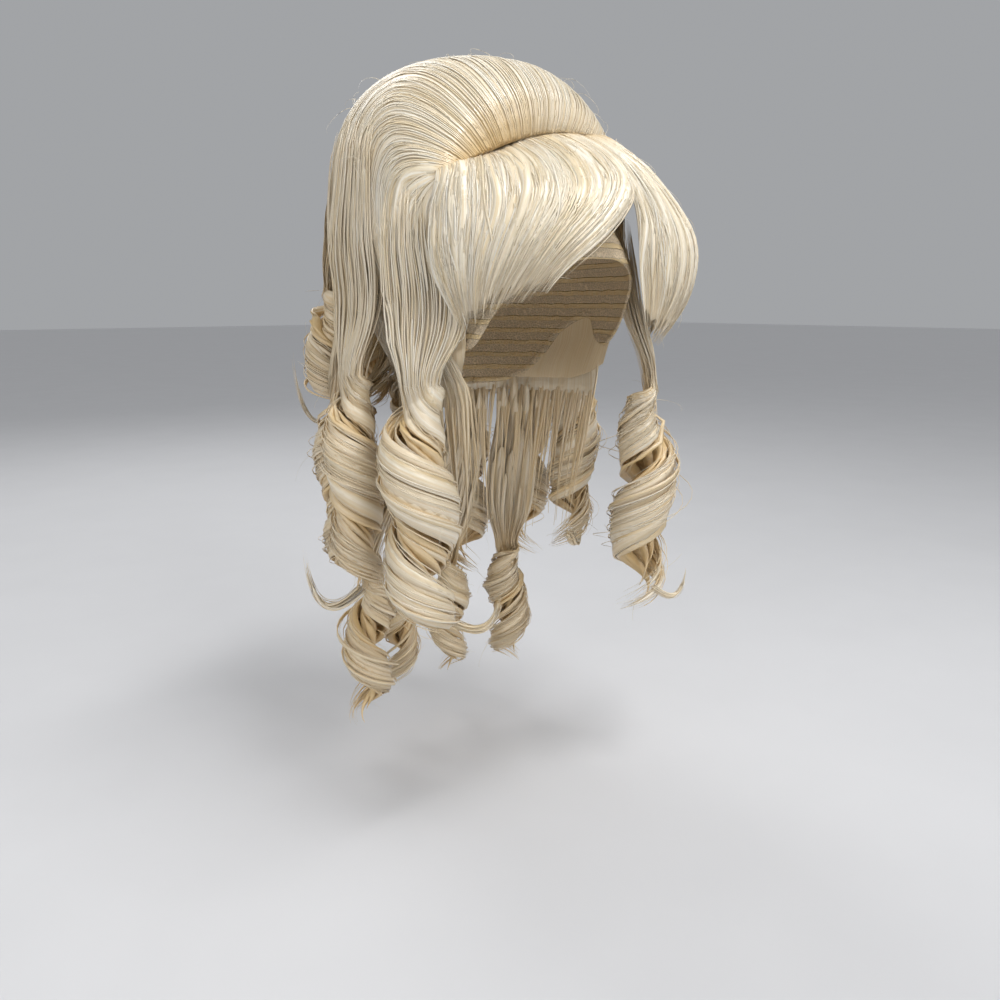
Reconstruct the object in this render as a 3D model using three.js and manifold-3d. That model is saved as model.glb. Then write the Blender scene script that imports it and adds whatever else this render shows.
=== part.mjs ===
// A blonde beehive wig: a fitted cap, a padded crown, a fringe swept to one side, a wave on the other,
// and ringlets in three tiers. Millimetres, +Z up. The face looks along -Y, the wearer's right is -X,
// and the origin is the inside top of the cap, where it sits on the head.
import * as THREE from "three";
import { mergeVertices } from "three/addons/utils/BufferGeometryUtils.js";
import Module from "manifold-3d";

// The head that the cap is made for
const headBreadth = 152;
const headLength = 192;
const headHeight = 180;
const headTilt = 16; // degrees that the head leans back

// The cap
const capEase = 1.5;
const capWall = 2;
const layerGap = 0.35; // clearance between one layer of hair and the next

// The crown, which is the beehive and the hair that falls from it behind the ears
const crownRise = 97; // from the top of the head to the top of the beehive
const crownDrop = 150; // from the top of the head to the lower edge at the nape
const crownWidth = 236;
const crownFront = 55; // reach ahead of the origin, where the front roll stands
const crownBack = 172;

// The fringe and the wave
const fringeThickness = 11;
const fringeEdge = 3.5; // thickness at the tips

// The ringlets
const ribbonThickness = 9;
const ribbonRoot = 2.5; // thickness where a lock leaves the layer below
const lockSpread = 1.3; // width of the smooth upper part of a lock over the width of its curls
const openingTurn = 0.75; // turns that a lock takes to open out to its full coil

// Height is a share of the rise above the origin and of the drop below it, width of half the crown's
// width, and front and back of the crown's reaches. Corner is the squareness of the front half, where 2
// is an ellipse.
const crownSections = [
  { height: -1.0, width: 0.66, front: 0.9, back: 0.62, corner: 2.8 },
  { height: -0.7, width: 0.8, front: 0.95, back: 0.8, corner: 2.8 },
  { height: -0.5, width: 0.93, front: 1.0, back: 0.93, corner: 2.8 },
  { height: -0.3, width: 1.0, front: 1.0, back: 1.0, corner: 2.8 },
  { height: 0.0, width: 0.97, front: 1.0, back: 1.0, corner: 2.7 },
  { height: 0.33, width: 0.92, front: 0.85, back: 0.98, corner: 2.4 },
  { height: 0.6, width: 0.81, front: 0.62, back: 0.91, corner: 2.15 },
  { height: 0.8, width: 0.64, front: 0.3, back: 0.81, corner: 2.0 },
  { height: 0.93, width: 0.42, front: -0.15, back: 0.68, corner: 2.0 },
  { height: 0.99, width: 0.16, front: -0.75, back: 0.5, corner: 2.0 },
];

// The lower edge of the cap seen from the side, from the forehead over the ear tab to the nape, as
// shares of half the head's length and of its height.
const capEdge = [
  { back: -1.3, down: 0.27 },
  { back: -1.0, down: 0.27 },
  { back: -0.62, down: 0.44 },
  { back: -0.34, down: 0.63 },
  { back: -0.16, down: 0.63 },
  { back: -0.02, down: 0.53 },
  { back: 0.3, down: 0.6 },
  { back: 0.62, down: 0.83 },
  { back: 1.3, down: 0.83 },
];

// The front edge of the crown seen from the side, from the parting down to the nape, at the wearer's
// right, in the middle and at the left. Back is a share of half the head's length, up of its height.
const crownEdge = [
  { right: { back: -3.2, up: -0.01 }, middle: { back: -3.2, up: 0.185 }, left: { back: -3.2, up: 0.15 } },
  { right: { back: -0.25, up: -0.01 }, middle: { back: -0.36, up: 0.185 }, left: { back: -0.22, up: 0.15 } },
  { right: { back: -0.28, up: -0.2 }, middle: { back: -0.34, up: -0.2 }, left: { back: -0.26, up: -0.2 } },
  { right: { back: -0.42, up: -0.6 }, middle: { back: -0.42, up: -0.6 }, left: { back: -0.34, up: -0.6 } },
  { right: { back: -0.36, up: -0.9 }, middle: { back: -0.36, up: -0.9 }, left: { back: -0.3, up: -0.9 } },
];

// Each row is a path of hair from the parting to its tip, from the right temple to the split over the
// left eye. The numbers are shares of half the head's breadth, half its length and half its height.
const fringePaths = [
  [[-1.22, -0.25, 0.0], [-1.36, -0.27, -0.33], [-1.38, -0.31, -0.71], [-1.16, -0.41, -1.2]],
  [[-1.05, -0.27, 0.08], [-1.25, -0.44, -0.18], [-1.31, -0.53, -0.6], [-1.13, -0.54, -1.12]],
  [[-0.78, -0.28, 0.15], [-1.02, -0.56, -0.07], [-1.14, -0.72, -0.49], [-1.03, -0.68, -1.03]],
  [[-0.56, -0.29, 0.21], [-0.76, -0.68, 0.0], [-0.9, -0.9, -0.4], [-0.84, -0.87, -0.95]],
  [[-0.32, -0.31, 0.3], [-0.45, -0.75, 0.07], [-0.58, -1.02, -0.33], [-0.63, -1.01, -0.85]],
  [[-0.05, -0.34, 0.36], [-0.13, -0.79, 0.12], [-0.21, -1.08, -0.27], [-0.26, -1.1, -0.73]],
  [[0.21, -0.38, 0.38], [0.18, -0.8, 0.15], [0.13, -1.07, -0.18], [0.1, -1.08, -0.56]],
  [[0.36, -0.39, 0.38], [0.38, -0.74, 0.16], [0.36, -0.97, -0.14], [0.3, -1.03, -0.47]],
];

// The same for the wave, from the split to the left ear.
const wavePaths = [
  [[0.42, -0.4, 0.37], [0.45, -0.71, 0.13], [0.47, -0.91, -0.22], [0.43, -0.98, -0.69], [0.6, -0.97, -1.25]],
  [[0.58, -0.4, 0.39], [0.79, -0.77, 0.1], [0.97, -1.08, -0.4], [0.95, -1.1, -0.87], [0.87, -0.88, -1.32]],
  [[0.79, -0.39, 0.39], [1.08, -0.65, 0.07], [1.27, -0.92, -0.42], [1.26, -0.9, -0.89], [1.1, -0.73, -1.34]],
  [[1.0, -0.27, 0.33], [1.32, -0.46, 0.0], [1.5, -0.65, -0.44], [1.47, -0.63, -0.91], [1.25, -0.5, -1.36]],
  [[1.13, -0.13, 0.24], [1.45, -0.23, -0.07], [1.58, -0.33, -0.49], [1.5, -0.33, -0.96], [1.26, -0.29, -1.36]],
];

// Around is degrees from the face towards the wearer's right. Root, curl and tip are heights as shares
// of the drop, out is the axis's distance outside the crown as a share of half its width, radius and
// width are shares of half the crown's width, and sway moves the tip, as a share of the same.
const ringlets = [
  { name: "ringlet_right_front", around: 58, root: -0.02, curl: -0.93, tip: -2.26, out: 0.02, radius: 0.23, width: 0.41, turns: 2.6, hand: 1, sway: 0.0 },
  { name: "ringlet_right_middle", around: 89, root: 0.22, curl: -0.9, tip: -2.12, out: 0.05, radius: 0.18, width: 0.38, turns: 2.7, hand: 1, sway: -0.04 },
  { name: "ringlet_right_rear", around: 116, root: 0.12, curl: -0.94, tip: -2.2, out: 0.0, radius: 0.17, width: 0.33, turns: 2.7, hand: -1, sway: -0.05 },
  { name: "ringlet_back_upper_1", around: 134, root: 0.05, curl: -0.5, tip: -1.16, out: 0.05, radius: 0.17, width: 0.33, turns: 1.7, hand: 1, sway: 0.02 },
  { name: "ringlet_back_upper_2", around: 164, root: 0.12, curl: -0.5, tip: -1.2, out: 0.04, radius: 0.17, width: 0.33, turns: 1.7, hand: -1, sway: 0.02 },
  { name: "ringlet_back_upper_3", around: 196, root: 0.12, curl: -0.5, tip: -1.2, out: 0.04, radius: 0.17, width: 0.33, turns: 1.7, hand: 1, sway: 0.02 },
  { name: "ringlet_back_upper_4", around: 226, root: 0.05, curl: -0.5, tip: -1.16, out: 0.05, radius: 0.17, width: 0.33, turns: 1.7, hand: -1, sway: 0.02 },
  { name: "ringlet_back_middle_1", around: 148, root: -0.76, curl: -1.14, tip: -2.35, out: 0.0, radius: 0.18, width: 0.34, turns: 2.6, hand: -1, sway: -0.03 },
  { name: "ringlet_back_middle_2", around: 180, root: -0.76, curl: -1.14, tip: -2.45, out: 0.0, radius: 0.18, width: 0.34, turns: 2.7, hand: 1, sway: -0.03 },
  { name: "ringlet_back_middle_3", around: 212, root: -0.76, curl: -1.14, tip: -2.35, out: 0.0, radius: 0.18, width: 0.34, turns: 2.6, hand: 1, sway: -0.03 },
  { name: "ringlet_left_rear", around: 244, root: 0.12, curl: -0.94, tip: -2.2, out: 0.0, radius: 0.17, width: 0.33, turns: 2.7, hand: 1, sway: -0.05 },
  { name: "ringlet_left_middle", around: 271, root: 0.22, curl: -0.9, tip: -2.1, out: 0.0, radius: 0.18, width: 0.38, turns: 2.6, hand: -1, sway: -0.06 },
  { name: "ringlet_left_front", around: 305, root: -0.1, curl: -1.0, tip: -2.36, out: 0.22, radius: 0.23, width: 0.4, turns: 2.4, hand: -1, sway: -0.06 },
  { name: "ringlet_back_long_1", around: 124, root: -1.02, curl: -2.1, tip: -3.06, out: -0.18, radius: 0.17, width: 0.3, turns: 2.1, hand: 1, sway: 0.02 },
  { name: "ringlet_back_long_2", around: 161, root: -1.02, curl: -2.15, tip: -3.02, out: -0.22, radius: 0.15, width: 0.28, turns: 2.1, hand: -1, sway: 0.0 },
  { name: "ringlet_back_long_3", around: 199, root: -1.02, curl: -2.15, tip: -3.04, out: -0.22, radius: 0.15, width: 0.28, turns: 2.1, hand: 1, sway: 0.0 },
  { name: "ringlet_back_long_4", around: 236, root: -1.02, curl: -2.1, tip: -3.0, out: -0.18, radius: 0.17, width: 0.3, turns: 2.1, hand: -1, sway: 0.02 },
];

const ringPoints = 36;
const headPoints = 28;
const crownLevels = 18;
const acrossPerPath = 2;
const alongSteps = 9;
const ribbonSides = 6;
const rootSteps = 6;
const curlSteps = 24;

const blonde = { color: 0xe2cfa6, roughness: 0.42, metalness: 0 };
const netting = { color: 0xcfb893, roughness: 0.85, metalness: 0 };

const wasm = await Module();
wasm.setup();

const { lerp, smoothstep, degToRad, clamp } = THREE.MathUtils;

// A closed mesh as a solid, and a solid as a mesh of the scene.
function solidOf(geometry) {
  const bare = geometry.index ? geometry.toNonIndexed() : geometry.clone();
  bare.deleteAttribute("normal");
  bare.deleteAttribute("uv");
  const merged = mergeVertices(bare, 1e-4);
  return new wasm.Manifold(
    new wasm.Mesh({
      numProp: 3,
      vertProperties: merged.attributes.position.array,
      triVerts: new Uint32Array(merged.index.array),
    }),
  );
}

function meshOf(name, solid, look) {
  const mesh = solid.getMesh();
  const geometry = new THREE.BufferGeometry();
  geometry.setAttribute("position", new THREE.BufferAttribute(mesh.vertProperties, mesh.numProp));
  geometry.setIndex(new THREE.BufferAttribute(mesh.triVerts, 1));
  geometry.computeVertexNormals();
  const made = new THREE.Mesh(geometry, new THREE.MeshStandardMaterial(look));
  made.name = name;
  return made;
}

// A lock that is trimmed by a layer below it keeps its main body.
function mainBody(solid) {
  const bodies = solid.decompose();
  return bodies.reduce((most, body) => (body.volume() > most.volume() ? body : most));
}

// A closed skin over rings of points, each ring going the same way round, with a fan at both ends.
function skin(rings) {
  const count = rings[0].length;
  const points = rings.flat();
  const faces = [];
  for (let i = 0; i + 1 < rings.length; i++) {
    for (let j = 0; j < count; j++) {
      const a = i * count + j;
      const b = i * count + ((j + 1) % count);
      faces.push(a, b, a + count, b, b + count, a + count);
    }
  }
  const middleOf = (ring) => ring.reduce((sum, p) => sum.add(p), new THREE.Vector3()).divideScalar(count);
  const last = (rings.length - 1) * count;
  points.push(middleOf(rings[0]), middleOf(rings.at(-1)));
  for (let j = 0; j < count; j++) {
    const next = (j + 1) % count;
    faces.push(next, j, points.length - 2, last + j, last + next, points.length - 1);
  }
  const geometry = new THREE.BufferGeometry().setFromPoints(points);
  geometry.setIndex(faces);
  const solid = solidOf(geometry);
  if (solid.volume() > 0) return solid;
  for (let i = 0; i < faces.length; i += 3) [faces[i], faces[i + 1]] = [faces[i + 1], faces[i]];
  geometry.setIndex(faces);
  return solidOf(geometry);
}

// The value of a column at a height between the rows of a table, on a smooth curve through them.
function columnAt(rows, height, name) {
  const last = rows.length - 1;
  const place = clamp(height, rows[0].height, rows[last].height);
  const i = clamp(rows.findIndex((row) => row.height >= place) - 1, 0, last - 1);
  const [a, b] = [rows[i], rows[i + 1]];
  const slope = (k) => {
    const [low, high] = [rows[Math.max(k - 1, 0)], rows[Math.min(k + 1, last)]];
    return (high[name] - low[name]) / (high.height - low.height);
  };
  const span = b.height - a.height;
  const t = (place - a.height) / span;
  const bend = (1 - t) * t * span * ((1 - t) * slope(i) - t * slope(i + 1));
  const ease = t * t * (3 - 2 * t);
  return lerp(a[name], b[name], ease) + bend;
}

// The head, leaned back so that the highest point of the cap's inside is the origin.
const tilt = degToRad(headTilt);
const halfHead = new THREE.Vector3(headBreadth, headLength, headHeight).divideScalar(2);
const innerHead = halfHead.clone().addScalar(capEase);
const headTop = Math.hypot(innerHead.y * Math.sin(tilt), innerHead.z * Math.cos(tilt));
const headCentre = new THREE.Vector3(
  0,
  ((innerHead.y ** 2 - innerHead.z ** 2) * Math.sin(tilt) * Math.cos(tilt)) / headTop,
  -headTop,
);

function headSolid(grow) {
  const size = innerHead.clone().addScalar(grow);
  const ball = new THREE.SphereGeometry(1, headPoints, headPoints / 2);
  ball.rotateX(Math.PI / 2);
  ball.scale(size.x, size.y, size.z);
  ball.rotateX(-tilt);
  ball.translate(headCentre.x, headCentre.y, headCentre.z);
  return solidOf(ball);
}

// Room for the face and the neck under the head, so that nothing closes the hollow from below.
function neckRoom(grow) {
  const size = innerHead.clone().addScalar(grow);
  const tube = new THREE.CylinderGeometry(1, 0.72, 1, headPoints, 1);
  tube.rotateX(Math.PI / 2);
  tube.scale(size.x, size.y, size.z * 1.6);
  tube.translate(headCentre.x, headCentre.y - size.y * 0.12, headCentre.z - size.z * 0.8);
  return solidOf(tube);
}

// A block across the whole wig, cut to an outline that is seen from the side.
function sideBlock(outline, span) {
  const shape = new THREE.Shape(outline.map(([y, z]) => new THREE.Vector2(y, z)));
  const block = new THREE.ExtrudeGeometry(shape, { depth: span, bevelEnabled: false });
  block.translate(0, 0, -span / 2);
  block.rotateX(Math.PI / 2);
  block.rotateZ(Math.PI / 2);
  return block;
}

const farAway = 4 * crownWidth;

function makeCap() {
  const edge = capEdge.map((row) => [headCentre.y + row.back * innerHead.y, -row.down * headHeight]);
  const below = [[edge[0][0], -farAway], ...edge, [edge.at(-1)[0], -farAway]];
  const shell = headSolid(capWall).subtract(headSolid(0));
  return mainBody(shell.subtract(solidOf(sideBlock(below, farAway))));
}

// A point of the crown's surface, at an angle round it and a height, moved out by a distance.
function crownPoint(around, z, out) {
  const height = z > 0 ? z / crownRise : z / crownDrop;
  const half = (columnAt(crownSections, height, "width") * crownWidth) / 2 + out;
  const front = -columnAt(crownSections, height, "front") * crownFront - out;
  const back = columnAt(crownSections, height, "back") * crownBack + out;
  const [side, ahead] = [Math.sin(around), Math.cos(around)];
  const power = ahead > 0 ? 2 / columnAt(crownSections, height, "corner") : 1;
  const x = -half * Math.sign(side) * Math.abs(side) ** power;
  const y = (front + back) / 2 - (Math.sign(ahead) * Math.abs(ahead) ** power * (back - front)) / 2;
  return new THREE.Vector3(x, y, z);
}

// What lies ahead of the crown's front edge, between outlines at the right, the middle and the left.
function aheadOfCrown(grow) {
  const ringOf = (side, x) => {
    const edge = crownEdge.map((row) => [row[side].back * halfHead.y - grow, row[side].up * headHeight - grow]);
    const outline = [...edge, [edge.at(-1)[0], -farAway], [edge[0][0], -farAway]];
    return outline.map(([y, z]) => new THREE.Vector3(x, y, z));
  };
  const beside = halfHead.x * 1.2;
  return skin([
    ringOf("right", -farAway),
    ringOf("right", -beside),
    ringOf("middle", 0),
    ringOf("left", beside),
    ringOf("left", farAway),
  ]);
}

function crownSolid(grow) {
  const [low, high] = [-crownDrop, crownSections.at(-1).height * crownRise];
  const rings = Array.from({ length: crownLevels + 1 }, (_, i) => {
    const share = Math.sin((i / crownLevels) * Math.PI * 0.5) ** 0.9;
    const z = lerp(low, high, share);
    return Array.from({ length: ringPoints }, (_, j) => {
      const p = crownPoint((j / ringPoints) * 2 * Math.PI, z, grow);
      return p.setZ(z + grow * (2 * share - 1));
    });
  });
  return skin(rings).subtract(aheadOfCrown(grow));
}

// A sheet of hair through a row of paths, with its thickness on the inner side.
function sheetSolid(paths, grow) {
  const curves = paths.map(
    (path) =>
      new THREE.CatmullRomCurve3(
        path.map(([x, y, z]) => new THREE.Vector3(x * halfHead.x, y * halfHead.y, z * halfHead.z)),
      ),
  );
  const across = (curves.length - 1) * acrossPerPath;
  const rows = Array.from({ length: alongSteps + 1 }, (_, i) => {
    const line = new THREE.CatmullRomCurve3(curves.map((curve) => curve.getPoint(i / alongSteps)));
    return Array.from({ length: across + 1 }, (_, j) => line.getPoint(j / across));
  });
  const at = (i, j) => rows[clamp(i, 0, alongSteps)][clamp(j, 0, across)];
  const rings = rows.map((row, i) => {
    const thick = lerp(fringeThickness, fringeEdge, (i / alongSteps) ** 1.5);
    const outer = row.map((p, j) => {
      const down = at(i + 1, j).clone().sub(at(i - 1, j));
      const side = at(i, j + 1).clone().sub(at(i, j - 1));
      return { p, normal: down.cross(side).normalize(), side: at(i, j + 1).clone().sub(at(i, j - 1)).normalize() };
    });
    const widen = (j) => (j === 0 ? -grow : j === across ? grow : 0);
    const layer = (depth) =>
      outer.map((o, j) => o.p.clone().addScaledVector(o.normal, -depth).addScaledVector(o.side, widen(j)));
    return [...layer(-grow), ...layer(thick + grow).reverse()];
  });
  return skin(rings);
}

// The middle line of a ringlet and the way its flat side faces, at a share of its length.
function ringletAt(row, share) {
  const around = degToRad(row.around);
  const half = crownWidth / 2;
  const [rootZ, curlZ, tipZ] = [row.root, row.curl, row.tip].map((z) => z * crownDrop);
  const z = lerp(rootZ, tipZ, share);
  const widest = -0.3 * crownDrop;
  const hangs = smoothstep(rootZ - z, 0, rootZ - curlZ);
  const seat = crownPoint(around, clamp(z, -crownDrop, rootZ), 0).setZ(0);
  const outward = crownPoint(around, widest, 10).sub(crownPoint(around, widest, 0)).normalize();
  const lift = layerGap + ribbonThickness / 2;
  seat.addScaledVector(outward, lift);
  const axis = crownPoint(around, widest, row.out * half).setZ(0);
  const swing = smoothstep(curlZ - z, 0, curlZ - tipZ) * row.sway * half;
  axis.addScaledVector(outward, swing);
  const middle = seat.lerp(axis, hangs);
  const turned = Math.max(0, (curlZ - z) / (curlZ - tipZ));
  const open = smoothstep(turned, 0, openingTurn / row.turns) * lerp(1, 0.8, turned);
  const angle = Math.atan2(outward.y, outward.x) + row.hand * turned * row.turns * 2 * Math.PI;
  const spoke = new THREE.Vector3(Math.cos(angle), Math.sin(angle), 0);
  middle.addScaledVector(spoke, open * row.radius * half).setZ(z);
  const facing = outward.clone().lerp(spoke, smoothstep(open, 0, 0.7)).normalize();
  return { middle, facing };
}

function ringletSolid(row, grow) {
  const wide = (row.width * crownWidth) / 4;
  const straight = (row.root - row.curl) / (row.root - row.tip);
  const places = [
    ...Array.from({ length: rootSteps }, (_, i) => (i / rootSteps) * straight),
    ...Array.from({ length: curlSteps + 1 }, (_, i) => lerp(straight, 1, i / curlSteps)),
  ];
  const step = 0.3 / curlSteps;
  const rings = places.map((share) => {
    const { middle, facing } = ringletAt(row, share);
    const before = ringletAt(row, share - step).middle;
    const after = ringletAt(row, share + step).middle;
    const length = after.distanceTo(before) / 2;
    const down = after.clone().sub(before).normalize();
    const across = new THREE.Vector3().crossVectors(down, facing).normalize();
    const face = new THREE.Vector3().crossVectors(across, down).normalize();
    const bend = after.add(before).addScaledVector(middle, -2).dot(across) / length ** 2;
    const body = Math.min(1, (1 - share) / 0.16) ** 0.6;
    const thick = lerp(ribbonRoot, ribbonThickness, smoothstep(share, 0, 0.12)) * lerp(0.35, 1, body);
    const spread = lerp(lockSpread, 1, smoothstep(share, straight * 0.7, straight * 1.1));
    const broad = wide * lerp(0.2, 1, body) * spread * lerp(0.3, 1, smoothstep(share, 0, straight * 0.6));
    const half = Math.min(broad + grow, 0.8 / Math.max(Math.abs(bend), 1e-6));
    return Array.from({ length: ribbonSides }, (_, k) => {
      const turn = ((k + 0.5) / ribbonSides) * 2 * Math.PI * row.hand;
      return middle
        .clone()
        .addScaledVector(across, Math.cos(turn) * half * 1.12)
        .addScaledVector(face, Math.sin(turn) * (thick / 2 + grow));
    });
  });
  return skin(rings);
}

const cap = makeCap();
const room = headSolid(capWall + layerGap).add(neckRoom(capWall + layerGap));
const crown = mainBody(crownSolid(0).subtract(room));
const aroundCrown = crownSolid(layerGap).add(room);
const fringe = mainBody(sheetSolid(fringePaths, 0).subtract(aroundCrown));
const aroundFringe = aroundCrown.add(sheetSolid(fringePaths, layerGap));
const wave = mainBody(sheetSolid(wavePaths, 0).subtract(aroundFringe));
let taken = aroundFringe.add(sheetSolid(wavePaths, layerGap));

const wig = new THREE.Group();
wig.add(meshOf("wig_cap", cap, netting));
wig.add(meshOf("beehive_crown", crown, blonde));
wig.add(meshOf("swept_fringe", fringe, blonde));
wig.add(meshOf("face_wave", wave, blonde));
for (const row of ringlets) {
  const lock = mainBody(ringletSolid(row, 0).subtract(taken));
  wig.add(meshOf(row.name, lock, blonde));
  taken = taken.add(ringletSolid(row, layerGap));
}

export default wig;
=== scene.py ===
import math

import bpy
import numpy as np
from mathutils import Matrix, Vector


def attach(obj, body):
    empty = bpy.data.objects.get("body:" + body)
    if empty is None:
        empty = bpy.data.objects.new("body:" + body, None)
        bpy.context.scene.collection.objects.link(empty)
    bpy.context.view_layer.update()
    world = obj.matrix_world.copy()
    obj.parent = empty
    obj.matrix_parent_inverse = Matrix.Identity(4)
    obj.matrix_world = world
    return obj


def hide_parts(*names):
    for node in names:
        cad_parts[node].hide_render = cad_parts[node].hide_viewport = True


bl_info = {
    "name": "Beehive Wig",
    "version": (1, 0, 0),
    "blender": (4, 5, 0),
    "location": "3D View > Sidebar > Wig",
    "description": "Dresses a beehive wig with combed hair, a swept fringe and ringlets",
    "category": "Object",
}

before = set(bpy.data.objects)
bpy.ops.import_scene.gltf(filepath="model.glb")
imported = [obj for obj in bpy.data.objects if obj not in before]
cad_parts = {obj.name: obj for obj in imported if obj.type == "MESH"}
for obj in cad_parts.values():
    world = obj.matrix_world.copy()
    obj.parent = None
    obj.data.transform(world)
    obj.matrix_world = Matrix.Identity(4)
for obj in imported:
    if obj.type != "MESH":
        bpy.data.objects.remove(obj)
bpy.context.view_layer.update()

# Heights of the crown are shares of its rise above the origin and of its drop below it. Width is a
# share of half its width, front and back are shares of its reaches, and corner is the squareness of
# the front half.
CROWN_SECTIONS = np.array([
    (-1.0, 0.66, 0.9, 0.62, 2.5),
    (-0.7, 0.8, 0.95, 0.8, 2.5),
    (-0.5, 0.93, 1.0, 0.93, 2.5),
    (-0.3, 1.0, 1.0, 1.0, 2.5),
    (0.0, 0.97, 1.0, 1.0, 2.45),
    (0.33, 0.92, 0.85, 0.98, 2.25),
    (0.6, 0.81, 0.62, 0.91, 2.1),
    (0.8, 0.64, 0.3, 0.81, 2.0),
    (0.93, 0.42, -0.15, 0.68, 2.0),
    (0.99, 0.16, -0.75, 0.5, 2.0),
])

# The lower edge of the cap from the forehead over the ear tab to the nape: back as a share of half
# the head's length, down as a share of its height.
CAP_EDGE = np.array([
    (-1.3, 0.27), (-1.0, 0.27), (-0.62, 0.44), (-0.34, 0.63), (-0.16, 0.63),
    (-0.02, 0.53), (0.3, 0.6), (0.62, 0.83), (1.3, 0.83),
])

# The middle of the head's upper form, under the highest point inside the cap.
HEAD_MIDDLE = np.array([0.0, 0.0033, -0.092])

# The parting where the front roll is rooted, from the right temple over the forehead to the left.
PARTING = np.array([
    (-0.092, -0.024, -0.002), (-0.062, -0.027, 0.012), (-0.03, -0.031, 0.025),
    (0.004, -0.034, 0.033), (0.05, -0.031, 0.035), (0.084, -0.022, 0.027),
])

# Paths of hair from the parting to the tips, as shares of half the head's breadth, length and height.
FRINGE_PATHS = np.array([
    [[-1.22, -0.25, 0.0], [-1.36, -0.27, -0.33], [-1.38, -0.31, -0.71], [-1.16, -0.41, -1.2]],
    [[-1.05, -0.27, 0.08], [-1.25, -0.44, -0.18], [-1.31, -0.53, -0.6], [-1.13, -0.54, -1.12]],
    [[-0.78, -0.28, 0.15], [-1.02, -0.56, -0.07], [-1.14, -0.72, -0.49], [-1.03, -0.68, -1.03]],
    [[-0.56, -0.29, 0.21], [-0.76, -0.68, 0.0], [-0.9, -0.9, -0.4], [-0.84, -0.87, -0.95]],
    [[-0.32, -0.31, 0.3], [-0.45, -0.75, 0.07], [-0.58, -1.02, -0.33], [-0.63, -1.01, -0.85]],
    [[-0.05, -0.34, 0.36], [-0.13, -0.79, 0.12], [-0.21, -1.08, -0.27], [-0.26, -1.1, -0.73]],
    [[0.21, -0.38, 0.38], [0.18, -0.8, 0.15], [0.13, -1.07, -0.18], [0.1, -1.08, -0.56]],
    [[0.36, -0.39, 0.38], [0.38, -0.74, 0.16], [0.36, -0.97, -0.14], [0.3, -1.03, -0.47]],
])
WAVE_PATHS = np.array([
    [[0.42, -0.4, 0.37], [0.45, -0.71, 0.13], [0.47, -0.91, -0.22],
     [0.43, -0.98, -0.69], [0.6, -0.97, -1.25]],
    [[0.58, -0.4, 0.39], [0.79, -0.77, 0.1], [0.97, -1.08, -0.4],
     [0.95, -1.1, -0.87], [0.87, -0.88, -1.32]],
    [[0.79, -0.39, 0.39], [1.08, -0.65, 0.07], [1.27, -0.92, -0.42],
     [1.26, -0.9, -0.89], [1.1, -0.73, -1.34]],
    [[1.0, -0.27, 0.33], [1.32, -0.46, 0.0], [1.5, -0.65, -0.44],
     [1.47, -0.63, -0.91], [1.25, -0.5, -1.36]],
    [[1.13, -0.13, 0.24], [1.45, -0.23, -0.07], [1.58, -0.33, -0.49],
     [1.5, -0.33, -0.96], [1.26, -0.29, -1.36]],
])

# Around is degrees from the face towards the wearer's right. Root, curl and tip are heights as shares
# of the crown's drop, out, radius, width and sway are shares of half the crown's width. Hand is the way
# that the coil turns.
RINGLET_COLUMNS = ("around", "root", "curl", "tip", "out", "radius", "width", "turns", "hand", "sway")
RINGLETS = {
    "ringlet_right_front": (58, -0.02, -0.93, -2.26, 0.02, 0.23, 0.41, 2.6, 1, 0.0),
    "ringlet_right_middle": (89, 0.22, -0.9, -2.12, 0.05, 0.18, 0.38, 2.7, 1, -0.04),
    "ringlet_right_rear": (116, 0.12, -0.94, -2.2, 0.0, 0.17, 0.33, 2.7, -1, -0.05),
    "ringlet_back_upper_1": (134, 0.05, -0.5, -1.16, 0.05, 0.17, 0.33, 1.7, 1, 0.02),
    "ringlet_back_upper_2": (164, 0.12, -0.5, -1.2, 0.04, 0.17, 0.33, 1.7, -1, 0.02),
    "ringlet_back_upper_3": (196, 0.12, -0.5, -1.2, 0.04, 0.17, 0.33, 1.7, 1, 0.02),
    "ringlet_back_upper_4": (226, 0.05, -0.5, -1.16, 0.05, 0.17, 0.33, 1.7, -1, 0.02),
    "ringlet_back_middle_1": (148, -0.76, -1.14, -2.35, 0.0, 0.18, 0.34, 2.6, -1, -0.03),
    "ringlet_back_middle_2": (180, -0.76, -1.14, -2.45, 0.0, 0.18, 0.34, 2.7, 1, -0.03),
    "ringlet_back_middle_3": (212, -0.76, -1.14, -2.35, 0.0, 0.18, 0.34, 2.6, 1, -0.03),
    "ringlet_left_rear": (244, 0.12, -0.94, -2.2, 0.0, 0.17, 0.33, 2.7, 1, -0.05),
    "ringlet_left_middle": (271, 0.22, -0.9, -2.1, 0.0, 0.18, 0.38, 2.6, -1, -0.06),
    "ringlet_left_front": (305, -0.1, -1.0, -2.36, 0.22, 0.23, 0.4, 2.4, -1, -0.06),
    "ringlet_back_long_1": (124, -1.02, -2.1, -3.06, -0.18, 0.17, 0.3, 2.1, 1, 0.02),
    "ringlet_back_long_2": (161, -1.02, -2.15, -3.02, -0.22, 0.15, 0.28, 2.1, -1, 0.0),
    "ringlet_back_long_3": (199, -1.02, -2.15, -3.04, -0.22, 0.15, 0.28, 2.1, 1, 0.0),
    "ringlet_back_long_4": (236, -1.02, -2.1, -3.0, -0.18, 0.17, 0.3, 2.1, -1, 0.02),
}

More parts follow.
